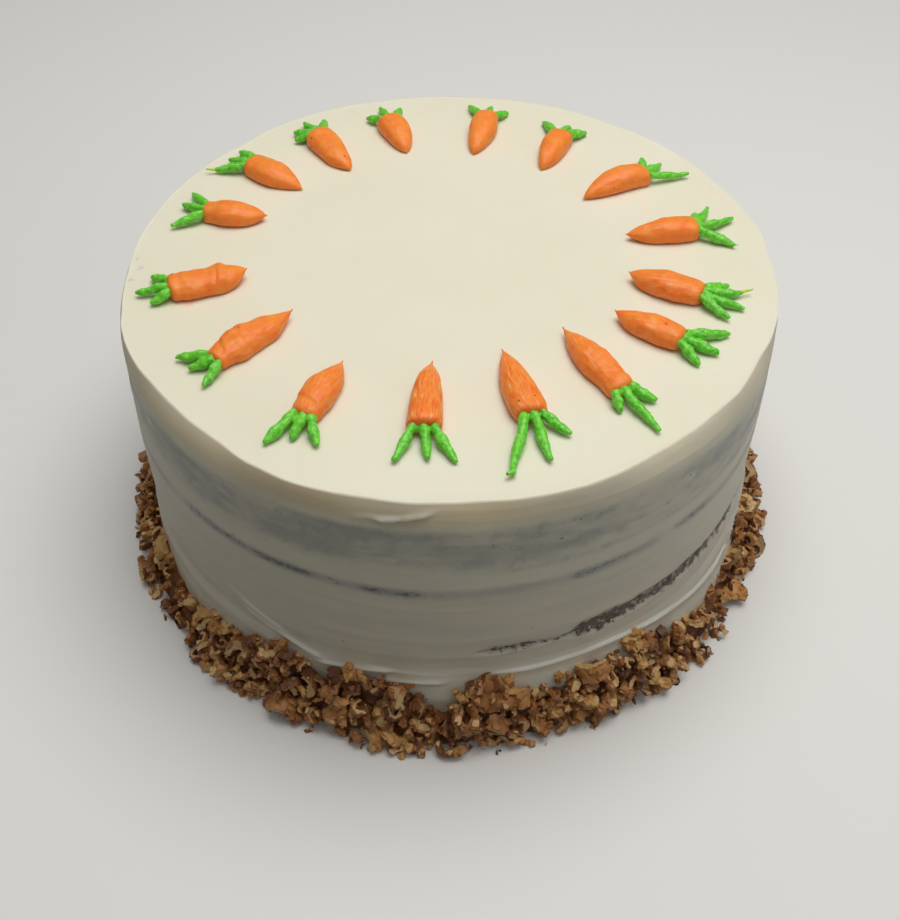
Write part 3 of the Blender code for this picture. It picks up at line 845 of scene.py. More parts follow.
def scatterTree(name):
    # nut pieces strewn over a surface, realized, kept above the ground
    tree = bpy.data.node_groups.new(name, "GeometryNodeTree")
    socket = tree.interface.new_socket
    socket("Surface", in_out="INPUT", socket_type="NodeSocketGeometry")
    for title in ("Spacing", "Amount", "Smallest", "Largest", "Sink", "Lift", "Tilt"):
        socket(title, in_out="INPUT", socket_type="NodeSocketFloat")
    socket("Seed", in_out="INPUT", socket_type="NodeSocketInt")
    socket("Variants", in_out="INPUT", socket_type="NodeSocketCollection")
    socket("Finish", in_out="INPUT", socket_type="NodeSocketMaterial")
    socket("Pieces", in_out="OUTPUT", socket_type="NodeSocketGeometry")
    given = tree.nodes.new("NodeGroupInput").outputs
    points = addNode(tree, "GeometryNodeDistributePointsOnFaces",
                     {"Mesh": given["Surface"], "Distance Min": given["Spacing"],
                      "Density Max": given["Amount"],
                      "Seed": given["Seed"]}, distribute_method="POISSON")
    depth = addNode(tree, "FunctionNodeRandomValue",
                    {2: calc(tree, "MULTIPLY", given["Sink"], -1.0), 3: given["Lift"],
                     "Seed": calc(tree, "ADD", given["Seed"], 3.0)})
    move = addNode(tree, "ShaderNodeVectorMath", {0: points.outputs["Normal"]}, operation="SCALE")
    tree.links.new(depth.outputs[1], move.inputs["Scale"])
    settled = addNode(tree, "GeometryNodeSetPosition",
                      {"Geometry": points.outputs["Points"], "Offset": move.outputs[0]})
    variants = addNode(tree, "GeometryNodeCollectionInfo",
                       {"Collection": given["Variants"], "Separate Children": True, "Reset Children": True})
    least = addNode(tree, "ShaderNodeCombineXYZ", {0: calc(tree, "MULTIPLY", given["Tilt"], -1.0),
                                                   1: calc(tree, "MULTIPLY", given["Tilt"], -1.0)})
    most = addNode(tree, "ShaderNodeCombineXYZ", {0: given["Tilt"], 1: given["Tilt"], 2: math.tau})
    lean = addNode(tree, "FunctionNodeRandomValue",
                   {0: least.outputs[0], 1: most.outputs[0], "Seed": given["Seed"]},
                   data_type="FLOAT_VECTOR")
    turn = addNode(tree, "FunctionNodeRotateRotation",
                   {"Rotation": points.outputs["Rotation"], "Rotate By": lean.outputs[0]},
                   rotation_space="LOCAL")
    size = addNode(tree, "FunctionNodeRandomValue",
                   {2: given["Smallest"], 3: given["Largest"],
                    "Seed": calc(tree, "ADD", given["Seed"], 1.0)})
    placed = addNode(tree, "GeometryNodeInstanceOnPoints",
                     {"Points": settled.outputs[0], "Instance": variants.outputs[0], "Pick Instance": True,
                      "Rotation": turn.outputs[0], "Scale": size.outputs[1]})
    tint = addNode(tree, "FunctionNodeRandomValue", {"Seed": calc(tree, "ADD", given["Seed"], 2.0)})
    marked = addNode(tree, "GeometryNodeStoreNamedAttribute",
                     {"Geometry": placed.outputs[0], "Name": "tint", "Value": tint.outputs[1]},
                     data_type="FLOAT", domain="INSTANCE")
    real = addNode(tree, "GeometryNodeRealizeInstances", {0: marked.outputs[0]})
    here = addNode(tree, "ShaderNodeSeparateXYZ",
                   {0: addNode(tree, "GeometryNodeInputPosition").outputs[0]})
    raised = addNode(tree, "ShaderNodeCombineXYZ",
                     {0: here.outputs[0], 1: here.outputs[1],
                      2: calc(tree, "MAXIMUM", here.outputs[2], walnuts["ground"])})
    above = addNode(tree, "GeometryNodeSetPosition",
                    {"Geometry": real.outputs[0], "Position": raised.outputs[0]})
    done = addNode(tree, "GeometryNodeSetMaterial",
                   {"Geometry": above.outputs[0], "Material": given["Finish"]})
    tree.links.new(done.outputs[0], tree.nodes.new("NodeGroupOutput").inputs["Pieces"])
    return tree


def setInputs(modifier, values):
    for item in modifier.node_group.interface.items_tree:
        if item.item_type == "SOCKET" and item.in_out == "INPUT" and item.name in values:
            modifier[item.identifier] = values[item.name]


def nutMaterial():
    material, tree, shader, place = newMaterial("walnut", 0.48, 0.5)
    tint = attribute(tree, "tint")
    patch = grain(tree, place, 5 * mm, 4, 0.6)
    vein = grain(tree, place, 1.6 * mm, 3, 0.6)
    ramp = addNode(tree, "ShaderNodeValToRGB",
                   {0: calc(tree, "MULTIPLY_ADD", calc(tree, "SUBTRACT", patch, 0.5), 0.9, tint)})
    stops = ramp.color_ramp.elements
    stops[0].color = (*nutTones["skinDark"], 1)
    stops[1].color = (*nutTones["skinLight"], 1)
    for at, colour in nutTones["skin"]:
        stops.new(at).color = (*colour, 1)
    skin = blendColours(tree, softStep(tree, vein, 0.58, 0.72, 0.6), ramp.outputs[0], nutTones["vein"])
    flesh = blendColours(tree, softStep(tree, vein, 0.35, 0.65), nutTones["flesh"], nutTones["fleshLight"])
    flesh = blendColours(tree, softStep(tree, tint, 0.50, 0.0, 0.55), flesh, nutTones["fleshDark"])
    cut = attribute(tree, "cut")
    snapped = calc(tree, "MULTIPLY_ADD", calc(tree, "SUBTRACT", patch, 0.5), 0.5, cut)
    broken = softStep(tree, snapped, 0.35, 0.6)
    tree.links.new(blendColours(tree, broken, skin, flesh), shader.inputs["Base Color"])
    softBody(shader, 0.10, (1.0, 0.5, 0.25), 1.5 * mm)
    addBump(tree, shader, calc(tree, "MULTIPLY_ADD", vein, 0.6, patch), 0.5, 0.35 * mm)
    return material


def bankOutline():
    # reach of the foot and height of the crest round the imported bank, smoothed over its four corners
    cad = mergedCopy("walnut_border")
    tree = BVHTree.FromBMesh(cad)
    cad.free()
    count = walnuts["columns"]
    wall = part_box("icing")[1].x
    foot = np.empty(count)
    crest = np.empty(count)
    for i in range(count):
        out = Vector((math.cos(math.tau * i / count), math.sin(math.tau * i / count), 0))
        foot[i] = min(tree.ray_cast(out * 0.2 + Vector((0, 0, 2 * mm)), -out)[0].xy.length,
                      walnuts["footLimit"])
        hits = [tree.ray_cast(out * (wall + reach * mm) + Vector((0, 0, 0.1)), Vector((0, 0, -1)))[0]
                for reach in (1.5, 3, 4.5)]
        crest[i] = max(hit.z for hit in hits if hit)
    for shift in (1, 2):
        foot = (np.roll(foot, shift) + 2 * foot + np.roll(foot, -shift)) / 4
    degrees = np.arange(count) / count * 360
    shares = windows(degrees, bankShares, 6, 0.62) + 0.09 * bandNoise(degrees / 360, 0 * degrees, 36, 1, 81)
    for at, halfWidth, depth in bankDips:
        shares = shares * (1 - depth * angleWindow(degrees, at, halfWidth, 2.5))
    return foot, crest * shares


def bankMesh(name, profile, closed):
    # a ring of the same outline all round; profile gives (reach, height) arrays, outside edge last
    count = walnuts["columns"]
    angles = np.arange(count) / count * math.tau
    rings = []
    for reach, height in profile:
        rings.append(np.column_stack((reach * np.cos(angles), reach * np.sin(angles), height + 0 * angles)))
    vertices = np.vstack(rings)
    rows = len(profile)
    lastRow = rows if closed else rows - 1
    faces = [(row * count + i, ((row + 1) % rows) * count + i, ((row + 1) % rows) * count + (i + 1) % count,
              row * count + (i + 1) % count) for row in range(lastRow) for i in range(count)]
    mesh = bpy.data.meshes.new(name)
    mesh.from_pydata(vertices.tolist(), [], faces)
    return mesh


def bankProfile(foot, crest, wall):
    width = foot - wall
    return [(wall + share * width, crest * height) for share, height in walnuts["outline"]]


def nutCore(material, foot, crest):
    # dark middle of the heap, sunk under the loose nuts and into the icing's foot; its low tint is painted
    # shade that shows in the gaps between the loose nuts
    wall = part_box("icing")[1].x - 1.6 * mm
    profile = bankProfile(foot - walnuts["coreFoot"], crest * walnuts["coreCrest"], wall)
    profile += [(foot - walnuts["coreFoot"], 0.0), (wall + 0 * foot, 0.0)]
    mesh = bankMesh("walnut_core", profile, True)
    mesh = throughModifiers(mesh, ("SUBSURF", dict(levels=2, render_levels=2, subdivision_type="SIMPLE")))
    places = coordinates(mesh)
    normals = np.array([v.normal for v in mesh.vertices])
    for i, place in enumerate(places):
        bump = noise.noise(Vector(place) / (3.2 * mm)) + 0.6 * noise.noise(Vector(place) / (1.4 * mm))
        if math.hypot(place[0], place[1]) > wall + 0.5 * mm:
            places[i] += normals[i] * walnuts["relief"] * bump
        places[i, 2] = max(places[i, 2], walnuts["ground"])
    setCoordinates(mesh, places)
    # low tint: painted shade between the loose nuts
    storeFloat(mesh, "tint", [0.18 + 0.3 * noise.noise(Vector(p) / (3 * mm)) for p in places])
    storeFloat(mesh, "cut", [0.1 + 0.5 * noise.noise(Vector(p) / (2 * mm)) for p in places])
    mesh.shade_smooth()
    meshObject("walnut_core", mesh, material, ["walnut_border"])


def makeLargeNut(material):
    # the one broad piece that stands out at the front
    look = largeNut
    mesh = nutShape(random.Random(look["seed"]), look["faces"], "slab")
    angle = math.radians(look["angle"])
    place = Vector((look["reach"] * math.cos(angle), look["reach"] * math.sin(angle), look["level"]))
    outward = Vector((math.cos(angle), math.sin(angle), 0.35)).normalized()
    turned = outward.to_track_quat("Z", "X").to_matrix().to_4x4()
    mesh.transform(Matrix.Translation(place) @ turned @ Matrix.Scale(look["size"], 4))
    storeFloat(mesh, "tint", np.full(len(mesh.vertices), look["tint"]))
    meshObject("walnut_large", mesh, material)


def makeWalnuts():
    material = nutMaterial()
    foot, crest = bankOutline()
    nutCore(material, foot, crest)
    makeLargeNut(material)
    tree = scatterTree("nut_scatter")
    rng = random.Random(walnuts["seed"])
    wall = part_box("icing")[1].x + 0.3 * mm
    for kind in nutKinds:
        variants = bpy.data.collections.new(kind["name"] + "_variants")
        for i in range(kind["variants"]):
            shape = nutShape(rng, kind["faces"], kind["styles"][i % len(kind["styles"])])
            variants.objects.link(bpy.data.objects.new(f"{kind['name']}_{i:02d}", shape))
        profile = bankProfile(foot - 0.3 * kind["small"], crest - 0.3 * kind["small"], wall)
        if kind["apron"]:
            profile.append((foot + walnuts["apron"] - kind["small"] / 2, 0.4 * mm))
        surface = bpy.data.objects.new("surface", bankMesh("surface", profile, False))
        bpy.context.scene.collection.objects.link(surface)
        modifier = surface.modifiers.new("scatter", "NODES")
        modifier.node_group = tree
        setInputs(modifier, {"Spacing": kind["spacing"] * mm, "Amount": float(kind["amount"]),
                             "Smallest": kind["small"], "Largest": kind["large"], "Sink": kind["sink"],
                             "Lift": kind["lift"], "Tilt": kind["tilt"], "Seed": kind["seed"],
                             "Variants": variants, "Finish": material})
        mesh = evaluatedMesh(surface)
        bpy.data.objects.remove(surface)
        for shape in list(variants.objects):
            bpy.data.objects.remove(shape)
        bpy.data.collections.remove(variants)
        meshObject(kind["name"], mesh, material)
        print(kind["name"], len(mesh.polygons), "triangles")


carrotPiping = dict(rings=120, around=88, stations=64, sideLevel=1.7 * mm, crownRound=2.3 * mm,
                    sit=0.25 * mm, grain=0.15 * mm, facets=0.25 * mm, swell=1.02, needle=0.24 * mm,
                    heightTaper=0.85, nib=0.5 * mm, lifted=0.55, foldWidth=0.022, lipWidth=0.03,
                    lipAt=0.05, girth=0.026, seed=300, seedStep=7)
# streak is painted shade in the grooves of the striations, and glint is their painted highlight
carrotTones = dict(body=(1.0, 0.245, 0.028), bright=(1.0, 0.335, 0.056), deep=(0.98, 0.215, 0.022),
                   streak=(0.82, 0.130, 0.018), glint=(1.0, 0.66, 0.44), crown=(0.88, 0.130, 0.018),
                   speck=(0.40, 0.050, 0.015))
# for each carrot: share of its length that tapers and how sharply, drawn-up point (length, rise and
# sideways in mm), depth of striations, depth of lumps in mm, and folds (place along, lean along, place
# round, width round, depth in mm)
carrotStyles = (
    dict(taper=(0.50, 1.20), point=(2.0, 1.6, 1.3), striations=1.0, lumps=0.16),
    dict(taper=(0.62, 1.15), point=(2.2, 1.3, -0.4), striations=0.9, lumps=0.16),
    dict(crown=1.7, taper=(0.62, 1.20), point=(2.4, 2.3, 1.2), striations=0.5, lumps=0.34,
         folds=((0.22, 0.5, 0.25, 0.20, 0.3),)),
    dict(crown=1.7, taper=(0.48, 0.95), point=(0.4, 3.0, 1.7), striations=0.4, lumps=0.28),
    dict(crown=1.7, taper=(0.40, 0.90), point=(0.5, 3.4, 0.2), striations=0.7, lumps=0.28),
    dict(crown=1.7, taper=(0.55, 0.90), point=(-0.3, 2.4, 0.3), striations=0.2, lumps=0.20),
    dict(crown=1.7, taper=(0.66, 0.75), point=(0.0, 0.8, 0.0), striations=0.3, lumps=0.24),
    dict(crown=1.7, taper=(0.75, 0.62), point=(-0.2, 0.4, 1.6), striations=0.2, lumps=0.20),
    dict(crown=1.7, taper=(0.80, 0.60), point=(0.0, 0.6, 1.3), striations=0.2, lumps=0.20),
    dict(crown=1.7, taper=(0.80, 0.60), point=(0.0, 0.6, 0.2), striations=0.2, lumps=0.20),
    dict(crown=1.7, taper=(0.70, 0.62), point=(-0.4, 0.6, -1.6), striations=0.3, lumps=0.26),
    dict(crown=1.7, taper=(0.58, 0.90), point=(0.4, 0.6, 0.2), striations=0.3, lumps=0.24),
    dict(crown=1.7, taper=(0.42, 0.85), point=(-0.2, 2.4, -0.8), striations=0.3, lumps=0.22),
    dict(crown=1.5, taper=(0.30, 0.85), point=(0.6, 3.6, -1.3), striations=0.3, lumps=0.40,
         folds=((0.24, 1.6, 0.44, 0.10, 0.55), (0.62, 0.3, 0.20, 0.12, 0.3))),
    dict(crown=1.4, taper=(0.58, 1.10), point=(1.2, 3.2, -1.1), striations=0.4, lumps=0.40,
         folds=((0.15, 0.5, 0.30, 0.14, 0.40), (0.40, -0.9, 0.22, 0.07, 0.30))),
    dict(crown=1.7, taper=(0.58, 1.15), point=(2.2, 1.9, -1.5), striations=0.7, lumps=0.30,
         folds=((0.17, 0.25, 0.24, 0.17, 0.36),)),
)
greensPiping = dict(radius=1.55 * mm, voxel=0.24 * mm, lumps=0.30 * mm, pimples=0.06 * mm, sit=0.2 * mm,
                    spread=0.34, rootSpread=1.2 * mm, rootDepth=1.0 * mm, rootLevel=3.5 * mm,
                    clump=1.25 * mm, clumpDrop=0.8 * mm, bendLevel=2.6 * mm, restLevel=1.3 * mm,
                    sway=0.06, tipBack=0.4 * mm, yellowBack=2.2 * mm, rings=26, sides=14, endSides=10,
                    seed=900)
greenTones = dict(body=(0.105, 0.53, 0.022), bright=(0.205, 0.74, 0.064), patch=(0.215, 0.70, 0.026),
                  speck=(0.02, 0.14, 0.015), end=(0.50, 0.72, 0.020))
# thin ends drawn past a frond's tip: carrot, frond counted from its right side, length onward and
# sideways in mm, radius in mm, and whether the end has run yellow
greenEnds = ((2, 0, 1.0, -1.8, 1.0, False), (5, 2, 3.6, 0.6, 0.55, True), (12, 2, 3.4, 0.6, 0.55, True),
             (6, 0, 1.6, 0.2, 0.45, False))


def carrotMaterial():
    tones = carrotTones
    material, tree, shader, place = newMaterial("carrot_icing", 0.42, 0.36)
    softBody(shader, 0.80, (1.0, 0.26, 0.05), 2.4 * mm)
    flow = attribute(tree, "flow", "Vector")
    long = addNode(tree, "ShaderNodeMapping", {0: flow, 3: (0.14, 1, 1)}).outputs[0]
    hairs = grain(tree, long, 0.65 * mm, 3, 0.6)
    striations = attribute(tree, "striations")
    fine = grain(tree, place, 2.4 * mm, 4, 0.6)
    patch = grain(tree, place, 9 * mm, 2)
    colour = blendColours(tree, softStep(tree, fine, 0.3, 0.7), tones["body"], tones["bright"])
    colour = blendColours(tree, softStep(tree, patch, 0.45, 0.75, 0.5), colour, tones["deep"])
    # painted shade in the striations' grooves and painted highlights (glints) on their ridges, from the same
    # noise as the bump
    grooveShade = calc(tree, "MULTIPLY", softStep(tree, hairs, 0.50, 0.38, 0.75), striations)
    colour = blendColours(tree, grooveShade, colour, tones["streak"])
    glints = calc(tree, "MULTIPLY", softStep(tree, hairs, 0.58, 0.66, 0.7), striations)
    colour = blendColours(tree, glints, colour, tones["glint"])
    colour = blendColours(tree, calc(tree, "MULTIPLY", attribute(tree, "crown"), 0.5), colour,
                          tones["crown"])
    cells = addNode(tree, "ShaderNodeTexVoronoi", {"Vector": place, "Scale": 1 / (4.2 * mm)})
    chance = addNode(tree, "ShaderNodeSeparateColor", {0: cells.outputs["Color"]})
    size = calc(tree, "MULTIPLY_ADD", chance.outputs[1], 0.06, 0.07)
    dot = calc(tree, "MULTIPLY", softStep(tree, chance.outputs[0], 0.72, 0.76),
               softStep(tree, calc(tree, "SUBTRACT", size, cells.outputs["Distance"]), -0.03, 0.03))
    tree.links.new(blendColours(tree, calc(tree, "MULTIPLY", dot, 0.75), colour, tones["speck"]),
                   shader.inputs["Base Color"])
    bump = calc(tree, "MULTIPLY_ADD", calc(tree, "MULTIPLY", hairs, striations), 1.4, fine)
    addBump(tree, shader, calc(tree, "SUBTRACT", bump, calc(tree, "MULTIPLY", dot, 0.8)), 0.5, 0.25 * mm)
    return material


def greensMaterial():
    tones = greenTones
    material, tree, shader, place = newMaterial("green_icing", 0.36, 0.5)
    softBody(shader, 0.30, (0.5, 1.0, 0.3), 1.4 * mm)
    fine = grain(tree, place, 1.3 * mm, 3, 0.6)
    patch = grain(tree, place, 10 * mm, 2)
    colour = blendColours(tree, softStep(tree, fine, 0.35, 0.65), tones["body"], tones["bright"])
    colour = blendColours(tree, softStep(tree, patch, 0.45, 0.7, 0.5), colour, tones["patch"])
    cells = addNode(tree, "ShaderNodeTexVoronoi", {"Vector": place, "Scale": 1 / (2.2 * mm)})
    chance = addNode(tree, "ShaderNodeSeparateColor", {0: cells.outputs["Color"]}).outputs[0]
    dot = calc(tree, "MULTIPLY", softStep(tree, chance, 0.82, 0.86),
               softStep(tree, calc(tree, "SUBTRACT", 0.16, cells.outputs["Distance"]), -0.05, 0.05))
    colour = blendColours(tree, calc(tree, "MULTIPLY", dot, 0.6), colour, tones["speck"])
    colour = blendColours(tree, attribute(tree, "end"), colour, tones["end"])
    tree.links.new(colour, shader.inputs["Base Color"])
    addBump(tree, shader, fine, 0.5, 0.3 * mm)
    return material


def carrotLine(cad):
    # tip and middle of the crown of a packed carrot, and the level direction from tip to crown
    tip = min((v.co for v in cad.verts), key=lambda p: p.xy.length).copy()
    centre = sum((v.co.xy for v in cad.verts), Vector((0, 0))) / len(cad.verts)
    rough = Vector((*(centre - tip.xy), 0)).normalized()
    furthest = max((v.co - tip).dot(rough) for v in cad.verts)
    endPoints = [v.co for v in cad.verts if (v.co - tip).dot(rough) > furthest - 0.8 * mm]
    crown = sum(endPoints, Vector()) / len(endPoints)
    out = Vector((*(crown.xy - tip.xy), 0))
    return tip, crown, out.normalized(), out.length


def carrotSections(cad, crown, out, length):
    # middle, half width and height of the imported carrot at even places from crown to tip
    tree = BVHTree.FromBMesh(cad)
    left = Vector((-out.y, out.x, 0))
    count = carrotPiping["stations"]
    sections = np.zeros((count, 3))
    for i in range(count):
        at = crown - out * length * min(max(i / (count - 1), 0.01), 0.99)
        at.z = cakeTop + carrotPiping["sideLevel"]
        sides = []
        for side in (-1, 1):
            hit = tree.ray_cast(at + left * side * 0.03, -left * side)[0]
            sides.append((hit - at).dot(left) if hit else 0.0)
        at += left * (sides[0] + sides[1]) / 2
        at.z = 0.2
        top = tree.ray_cast(at, Vector((0, 0, -1)))[0]
        sections[i] = ((sides[0] + sides[1]) / 2, (sides[1] - sides[0]) / 2,
                       (top.z if top else cakeTop) - cakeTop)
    weights = np.exp(-(np.arange(-5, 6) / 2.4) ** 2)
    padded = np.pad(sections, ((5, 5), (0, 0)), mode="reflect", reflect_type="odd")
    return np.array([np.convolve(padded[:, k], weights / weights.sum(), mode="valid") for k in range(3)])


def carrotProfile(style, length, middles, halves, heights):
    # outline at places along, closer together at both ends; past 1 is the drawn-out point
    look = carrotPiping
    pointLength, pointRise, pointSide = (value * mm for value in style["point"])
    reach = 1 + pointLength / length
    along = reach * (1 - np.cos(np.linspace(0, math.pi, look["rings"]))) / 2
    stations = np.linspace(0, 1, len(halves))
    crownShare = look["crownRound"] * style.get("crown", 1.0) / length
    dome = (1 - (1 - np.clip(along / crownShare, 0, 1)) ** 2.6) ** (1 / 2.6)
    tapered, sharpness = style["taper"]
    bodyEnd = reach - look["nib"] / length
    ahead = np.clip((bodyEnd - along) / tapered, 0, 1)
    taper = (2 * ahead - ahead ** 2) ** sharpness
    onward = np.clip((along - look["lifted"]) / (reach - look["lifted"]), 0, 1)
    inside = np.clip(along, crownShare, 1 - 0.8 * tapered)
    drawn = np.clip((along - 0.85) / (reach - 0.85), 0, 1)
    closing = np.clip((reach - along) / (reach - bodyEnd), 0, 1) ** 0.6
    needle = look["needle"] * np.clip(drawn * 2, 0, 1) * closing
    half = np.maximum(np.interp(inside, stations, halves) * look["swell"] * taper, needle) * dome
    tall = np.interp(inside, stations, heights)
    low = -look["sit"] + (pointRise + look["sit"]) * onward ** 2.6
    lift = pointRise * onward ** 1.2
    height = lift + (tall - lift) * taper ** look["heightTaper"] - low
    height = np.maximum(height, 2 * needle)
    middle = np.interp(along, stations, middles) + pointSide * onward ** 2.2
    return along, dome, middle, half, low, height


def carrotRelief(style, along, length, turns, alongs, seed):
    # facets, lumps, striations and folds, fading out at both ends
    look = carrotPiping
    ends = np.clip(np.minimum(along / 0.05, (1 - along) / 0.25), 0, 1)[:, None]
    relief = look["facets"] * bandNoise(turns, alongs, 5, length * 0.45, seed) * ends
    relief += style["lumps"] * mm * bandNoise(turns, alongs, 6, 4.5 * mm, seed + 20) * ends
    relief += 0.5 * style["lumps"] * mm * bandNoise(turns, alongs, 13, 2.0 * mm, seed + 40) * ends
    grainDepth = look["grain"] * style["striations"]
    strips = bandNoise(turns, alongs, 34, 5 * mm, seed + 60)
    strips = strips + 0.6 * bandNoise(turns, alongs, 25, 3 * mm, seed + 80)
    relief += grainDepth * strips * ends
    for at, lean, side, spread, depth in style.get("folds", ()):
        sway = 0.03 * bandNoise(turns, alongs, 9, 3 * mm, seed + 90)
        across = alongs / length - at - lean * (turns - side) - sway
        fold = np.exp(-(across / look["foldWidth"]) ** 2)
        fold = fold - 0.5 * np.exp(-((across - look["lipAt"]) / look["lipWidth"]) ** 2)
        relief -= depth * mm * fold * np.exp(-((turns - side) / spread) ** 2) * ends
    return relief


def loftMesh(name, places):
    # closed mesh through rings of points; the first and the last ring close to a point
    rows, columns = places.shape[:2]
    vertices = places[1:-1].reshape(-1, 3)
    poles = [places[0].mean(0), places[-1].mean(0)]
    ringCount = rows - 2
    faces = [(row * columns + i, (row + 1) * columns + i, (row + 1) * columns + (i + 1) % columns,
              row * columns + (i + 1) % columns) for row in range(ringCount - 1) for i in range(columns)]
    first = ringCount * columns
    faces += [(first, i, (i + 1) % columns) for i in range(columns)]
    lastRing = (ringCount - 1) * columns
    faces += [(lastRing + (i + 1) % columns, lastRing + i, first + 1) for i in range(columns)]
    mesh = bpy.data.meshes.new(name)
    mesh.from_pydata(np.vstack((vertices, poles)).tolist(), [], faces)
    return mesh


def carrotMesh(nodeName, style, seed):
    look = carrotPiping
    cad = mergedCopy(nodeName)
    tip, crown, out, length = carrotLine(cad)
    middles, halves, heights = carrotSections(cad, crown, out, length)
    cad.free()
    left = Vector((-out.y, out.x, 0))
    along, dome, middle, half, low, height = carrotProfile(style, length, middles, halves, heights)

    turn = np.arange(look["around"]) / look["around"]
    turns, alongs = np.meshgrid(turn, along * length)
    angle = turns * math.tau
    upper = np.sin(angle) > 0
    power = np.where(upper, 2.40, 2.9)
    cosine = np.sign(np.cos(angle)) * np.abs(np.cos(angle)) ** (2 / power)
    sine = np.sign(np.sin(angle)) * np.abs(np.sin(angle)) ** (2 / power)
    middleHeight = (low + 0.33 * height * np.clip(dome * 1.2, 0, 1) + 0.2 * height * (1 - dome))[:, None]
    upward = (low + height)[:, None] - middleHeight
    downward = middleHeight - low[:, None]
    x = middle[:, None] + half[:, None] * cosine
    z = middleHeight + np.where(upper, upward * dome[:, None], downward * np.sqrt(dome[:, None])) * sine
    relief = carrotRelief(style, along, length, turns, alongs, seed)
    x += relief * np.cos(angle)
    z += relief * np.where(upper, np.sin(angle), 0)
    z = np.maximum(z, low[:, None])

    places = np.empty((*x.shape, 3))
    for axis in range(2):
        places[:, :, axis] = crown[axis] - out[axis] * alongs + left[axis] * x
    places[:, :, 2] = cakeTop + z
    mesh = loftMesh(nodeName + "_piped", places)
    poles = len(mesh.vertices) - 2
    flow = np.zeros((len(mesh.vertices), 3), np.float32)
    flow[:poles, 0] = alongs[1:-1].ravel()
    flow[:poles, 1] = turns[1:-1].ravel() * look["girth"]
    flow[poles + 1, 0] = length
    mesh.attributes.new("flow", "FLOAT_VECTOR", "POINT").data.foreach_set("vector", flow.ravel())
    storeFloat(mesh, "striations", np.full(len(mesh.vertices), style["striations"]))
    storeFloat(mesh, "crown", smoothStep(-flow[:, 0], -1.6 * mm, -0.2 * mm))
    mesh.shade_smooth()
    return mesh, crown, out, float(halves[:12].mean())


def tube(bm, spots, radii, sides, level):
    # closed tube through the spots, resting no lower than level
    rings = []
    for i, (spot, radius) in enumerate(zip(spots, radii)):
        ahead = (spots[min(i + 1, len(spots) - 1)] - spots[max(i - 1, 0)]).normalized()
        across = Vector((-ahead.y, ahead.x, 0)).normalized()
        upright = across.cross(ahead)
        centre = Vector((spot.x, spot.y, max(spot.z, level + radius)))
        ring = []
        for k in range(sides):
            angle = math.tau * k / sides
            ring.append(bm.verts.new(centre + across * radius * math.cos(angle)
                                     - upright * radius * math.sin(angle)))
        rings.append(ring)
    for first, second in zip(rings, rings[1:]):
        for k in range(sides):
            bm.faces.new((first[k], first[(k + 1) % sides], second[(k + 1) % sides], second[k]))
    bm.faces.new(rings[0][::-1])
    bm.faces.new(rings[-1])


def frondTips(cad, crown, out):
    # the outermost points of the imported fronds, from the carrot's right side to its left
    left = Vector((-out.y, out.x, 0))
    tips = []
    for vert in cad.verts:
        reach = (vert.co - crown).xy.length
        if reach > 4 * mm and all((edge.other_vert(vert).co - crown).xy.length < reach
                                  for edge in vert.link_edges):
            tips.append(vert.co.copy())
    return sorted(tips, key=lambda tip: math.atan2((tip - crown).dot(left), (tip - crown).dot(out)))


def frondPath(crown, out, tip, side, rng):
    # from the top of the carrot's end, down on to the cake and out to the tip
    look = greensPiping
    left = Vector((-out.y, out.x, 0))
    start = crown - out * look["rootDepth"] + left * side
    start.z = cakeTop + look["rootLevel"]
    away = Vector((*(tip.xy - start.xy), 0))
    sway = Vector((-away.y, away.x, 0)) * rng.uniform(-look["sway"], look["sway"])
    bend = start + away * 0.30 + out * 0.08 * away.length + sway
    bend.z = cakeTop + look["bendLevel"]
    rest = start + away * 0.68 - sway
    rest.z = cakeTop + look["restLevel"]
    end = tip - away.normalized() * look["tipBack"]
    spots = []
    for i in range(look["rings"]):
        t = i / (look["rings"] - 1)
        spots.append(start * (1 - t) ** 3 + bend * 3 * t * (1 - t) ** 2 + rest * 3 * t * t * (1 - t)
                     + end * t ** 3)
    return spots


def frondRadii(count, rng):
    # thick near the root, narrowing to the tip, with piping ripples
    widest = greensPiping["radius"] * rng.uniform(0.90, 1.12)
    peak = rng.uniform(0.22, 0.52)
    phase = rng.uniform(0, 6)
    radii = []
    for i in range(count):
        t = i / (count - 1)
        body = 0.78 + 0.22 * math.sin(math.pi / 2 * min(t / peak, 1))
        narrowing = 1 - 0.60 * max(0, (t - peak) / (1 - peak)) ** 2.1
        ripple = 1 + 0.13 * math.sin(t * 14 + phase) * (1 - 0.7 * t)
        radii.append(widest * body * narrowing * ripple)
    return radii


def drawnEnd(tip, ahead, onward, sideways, radius):
    # path and radii of a thin end pulled past the tip
    turned = Vector((-ahead.y, ahead.x, 0))
    spots = []
    for i in range(-2, 9):
        t = i / 8
        wave = 0.25 * math.sin(5 * t) * min(onward / 4, 1) * mm
        spots.append(tip + ahead * onward * mm * t + turned * (sideways * mm * max(t, 0) ** 1.5 + wave)
                     + Vector((0, 0, 0.5 * mm * max(t, 0))))
    return spots, [radius * mm * (1 - 0.45 * max(i, 0) / 8) for i in range(-2, 9)]


def roughen(mesh, shift, level):
    # lumps and pimples of piped icing, kept above the cake
    places = coordinates(mesh)
    normals = np.array([v.normal for v in mesh.vertices])
    for i in range(len(places)):
        spot = Vector(places[i]) / (2.0 * mm) + shift
        bump = greensPiping["lumps"] * (noise.noise(spot) + 0.5 * noise.noise(spot * 2.1))
        bump += greensPiping["pimples"] * noise.noise(spot * 4.5)
        places[i] += normals[i] * bump
    places[:, 2] = np.maximum(places[:, 2], level)
    setCoordinates(mesh, places)


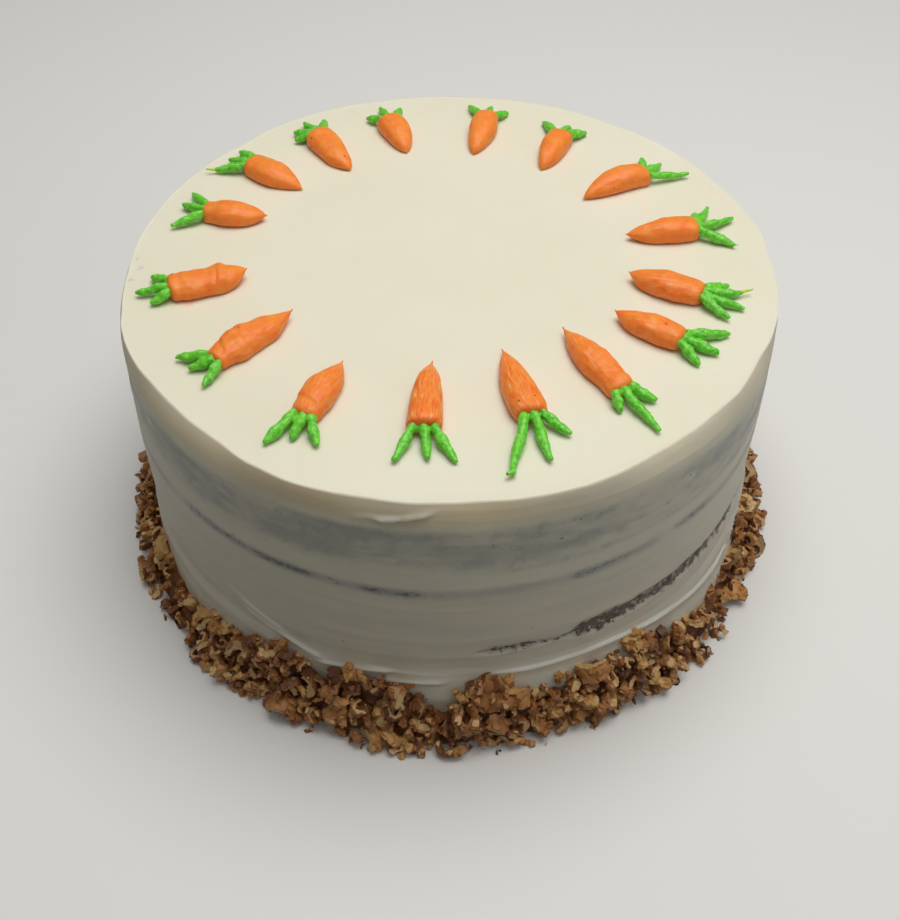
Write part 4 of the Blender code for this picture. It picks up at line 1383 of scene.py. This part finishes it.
def greensMesh(number, crown, out, crownHalf):
    look = greensPiping
    nodeName = f"greens_{number:02d}"
    rng = random.Random(look["seed"] + number)
    cad = mergedCopy(nodeName)
    tips = frondTips(cad, crown, out)
    cad.free()
    bm = bmesh.new()
    level = cakeTop - look["sit"]
    yellowed = [row[:2] for row in greenEnds if row[5]]
    endings = []
    roots = []
    for index, tip in enumerate(tips):
        share = (2 * index / (len(tips) - 1) - 1) if len(tips) > 1 else 0
        side = share * (crownHalf * look["spread"] + look["rootSpread"])
        if (number, index) in yellowed:
            tip = tip - (tip - crown).normalized() * look["yellowBack"]
        spots = frondPath(crown, out, tip, side, rng)
        roots.append(spots[1] - Vector((0, 0, look["clumpDrop"])))
        tube(bm, spots, frondRadii(len(spots), rng), look["sides"], level)
        ahead = Vector((*(spots[-1] - spots[-4]).xy, 0)).normalized()
        endings.append((spots[-1], ahead))
    if len(roots) > 1:
        tube(bm, roots, [look["clump"]] * len(roots), look["sides"], level)
    drawn = bmesh.new()
    for carrot, index, onward, sideways, radius, yellow in greenEnds:
        if carrot == number:
            spots, radii = drawnEnd(*endings[index], onward, sideways, radius)
            tube(drawn if yellow else bm, spots, radii, look["endSides"], level)
    mesh = bpy.data.meshes.new(nodeName + "_piped")
    bm.to_mesh(mesh)
    bm.free()
    mesh = throughModifiers(mesh, ("REMESH", dict(mode="VOXEL", voxel_size=look["voxel"])),
                            ("SMOOTH", dict(factor=0.5, iterations=2)))
    roughen(mesh, Vector((5.0 * number, 0, 0)), level)
    ends = np.zeros(len(mesh.vertices))
    if len(drawn.verts):
        extra = bpy.data.meshes.new("drawn")
        drawn.to_mesh(extra)
        joined = bmesh.new()
        joined.from_mesh(mesh)
        joined.from_mesh(extra)
        joined.to_mesh(mesh)
        joined.free()
        ends = np.concatenate((ends, np.ones(len(extra.vertices))))
    drawn.free()
    storeFloat(mesh, "end", ends)
    mesh.shade_smooth()
    print(nodeName, len(tips), "fronds")
    return mesh


def makeCarrots():
    orange = carrotMaterial()
    green = greensMaterial()
    for number, style in enumerate(carrotStyles, start=1):
        nodeName = f"carrot_{number:02d}"
        seed = carrotPiping["seed"] + carrotPiping["seedStep"] * number
        mesh, crown, out, crownHalf = carrotMesh(nodeName, style, seed)
        meshObject(nodeName + "_piped", mesh, orange, [nodeName])
        mesh = greensMesh(number, crown, out, crownHalf)
        meshObject(f"greens_{number:02d}_piped", mesh, green, [f"greens_{number:02d}"])
    print("carrots and greens ready")


makeStage()
meshObject("icing_coat", icingMesh(), icingMaterial(), ["icing"])
print("icing ready")
makeLayers()
makeWalnuts()
makeCarrots()
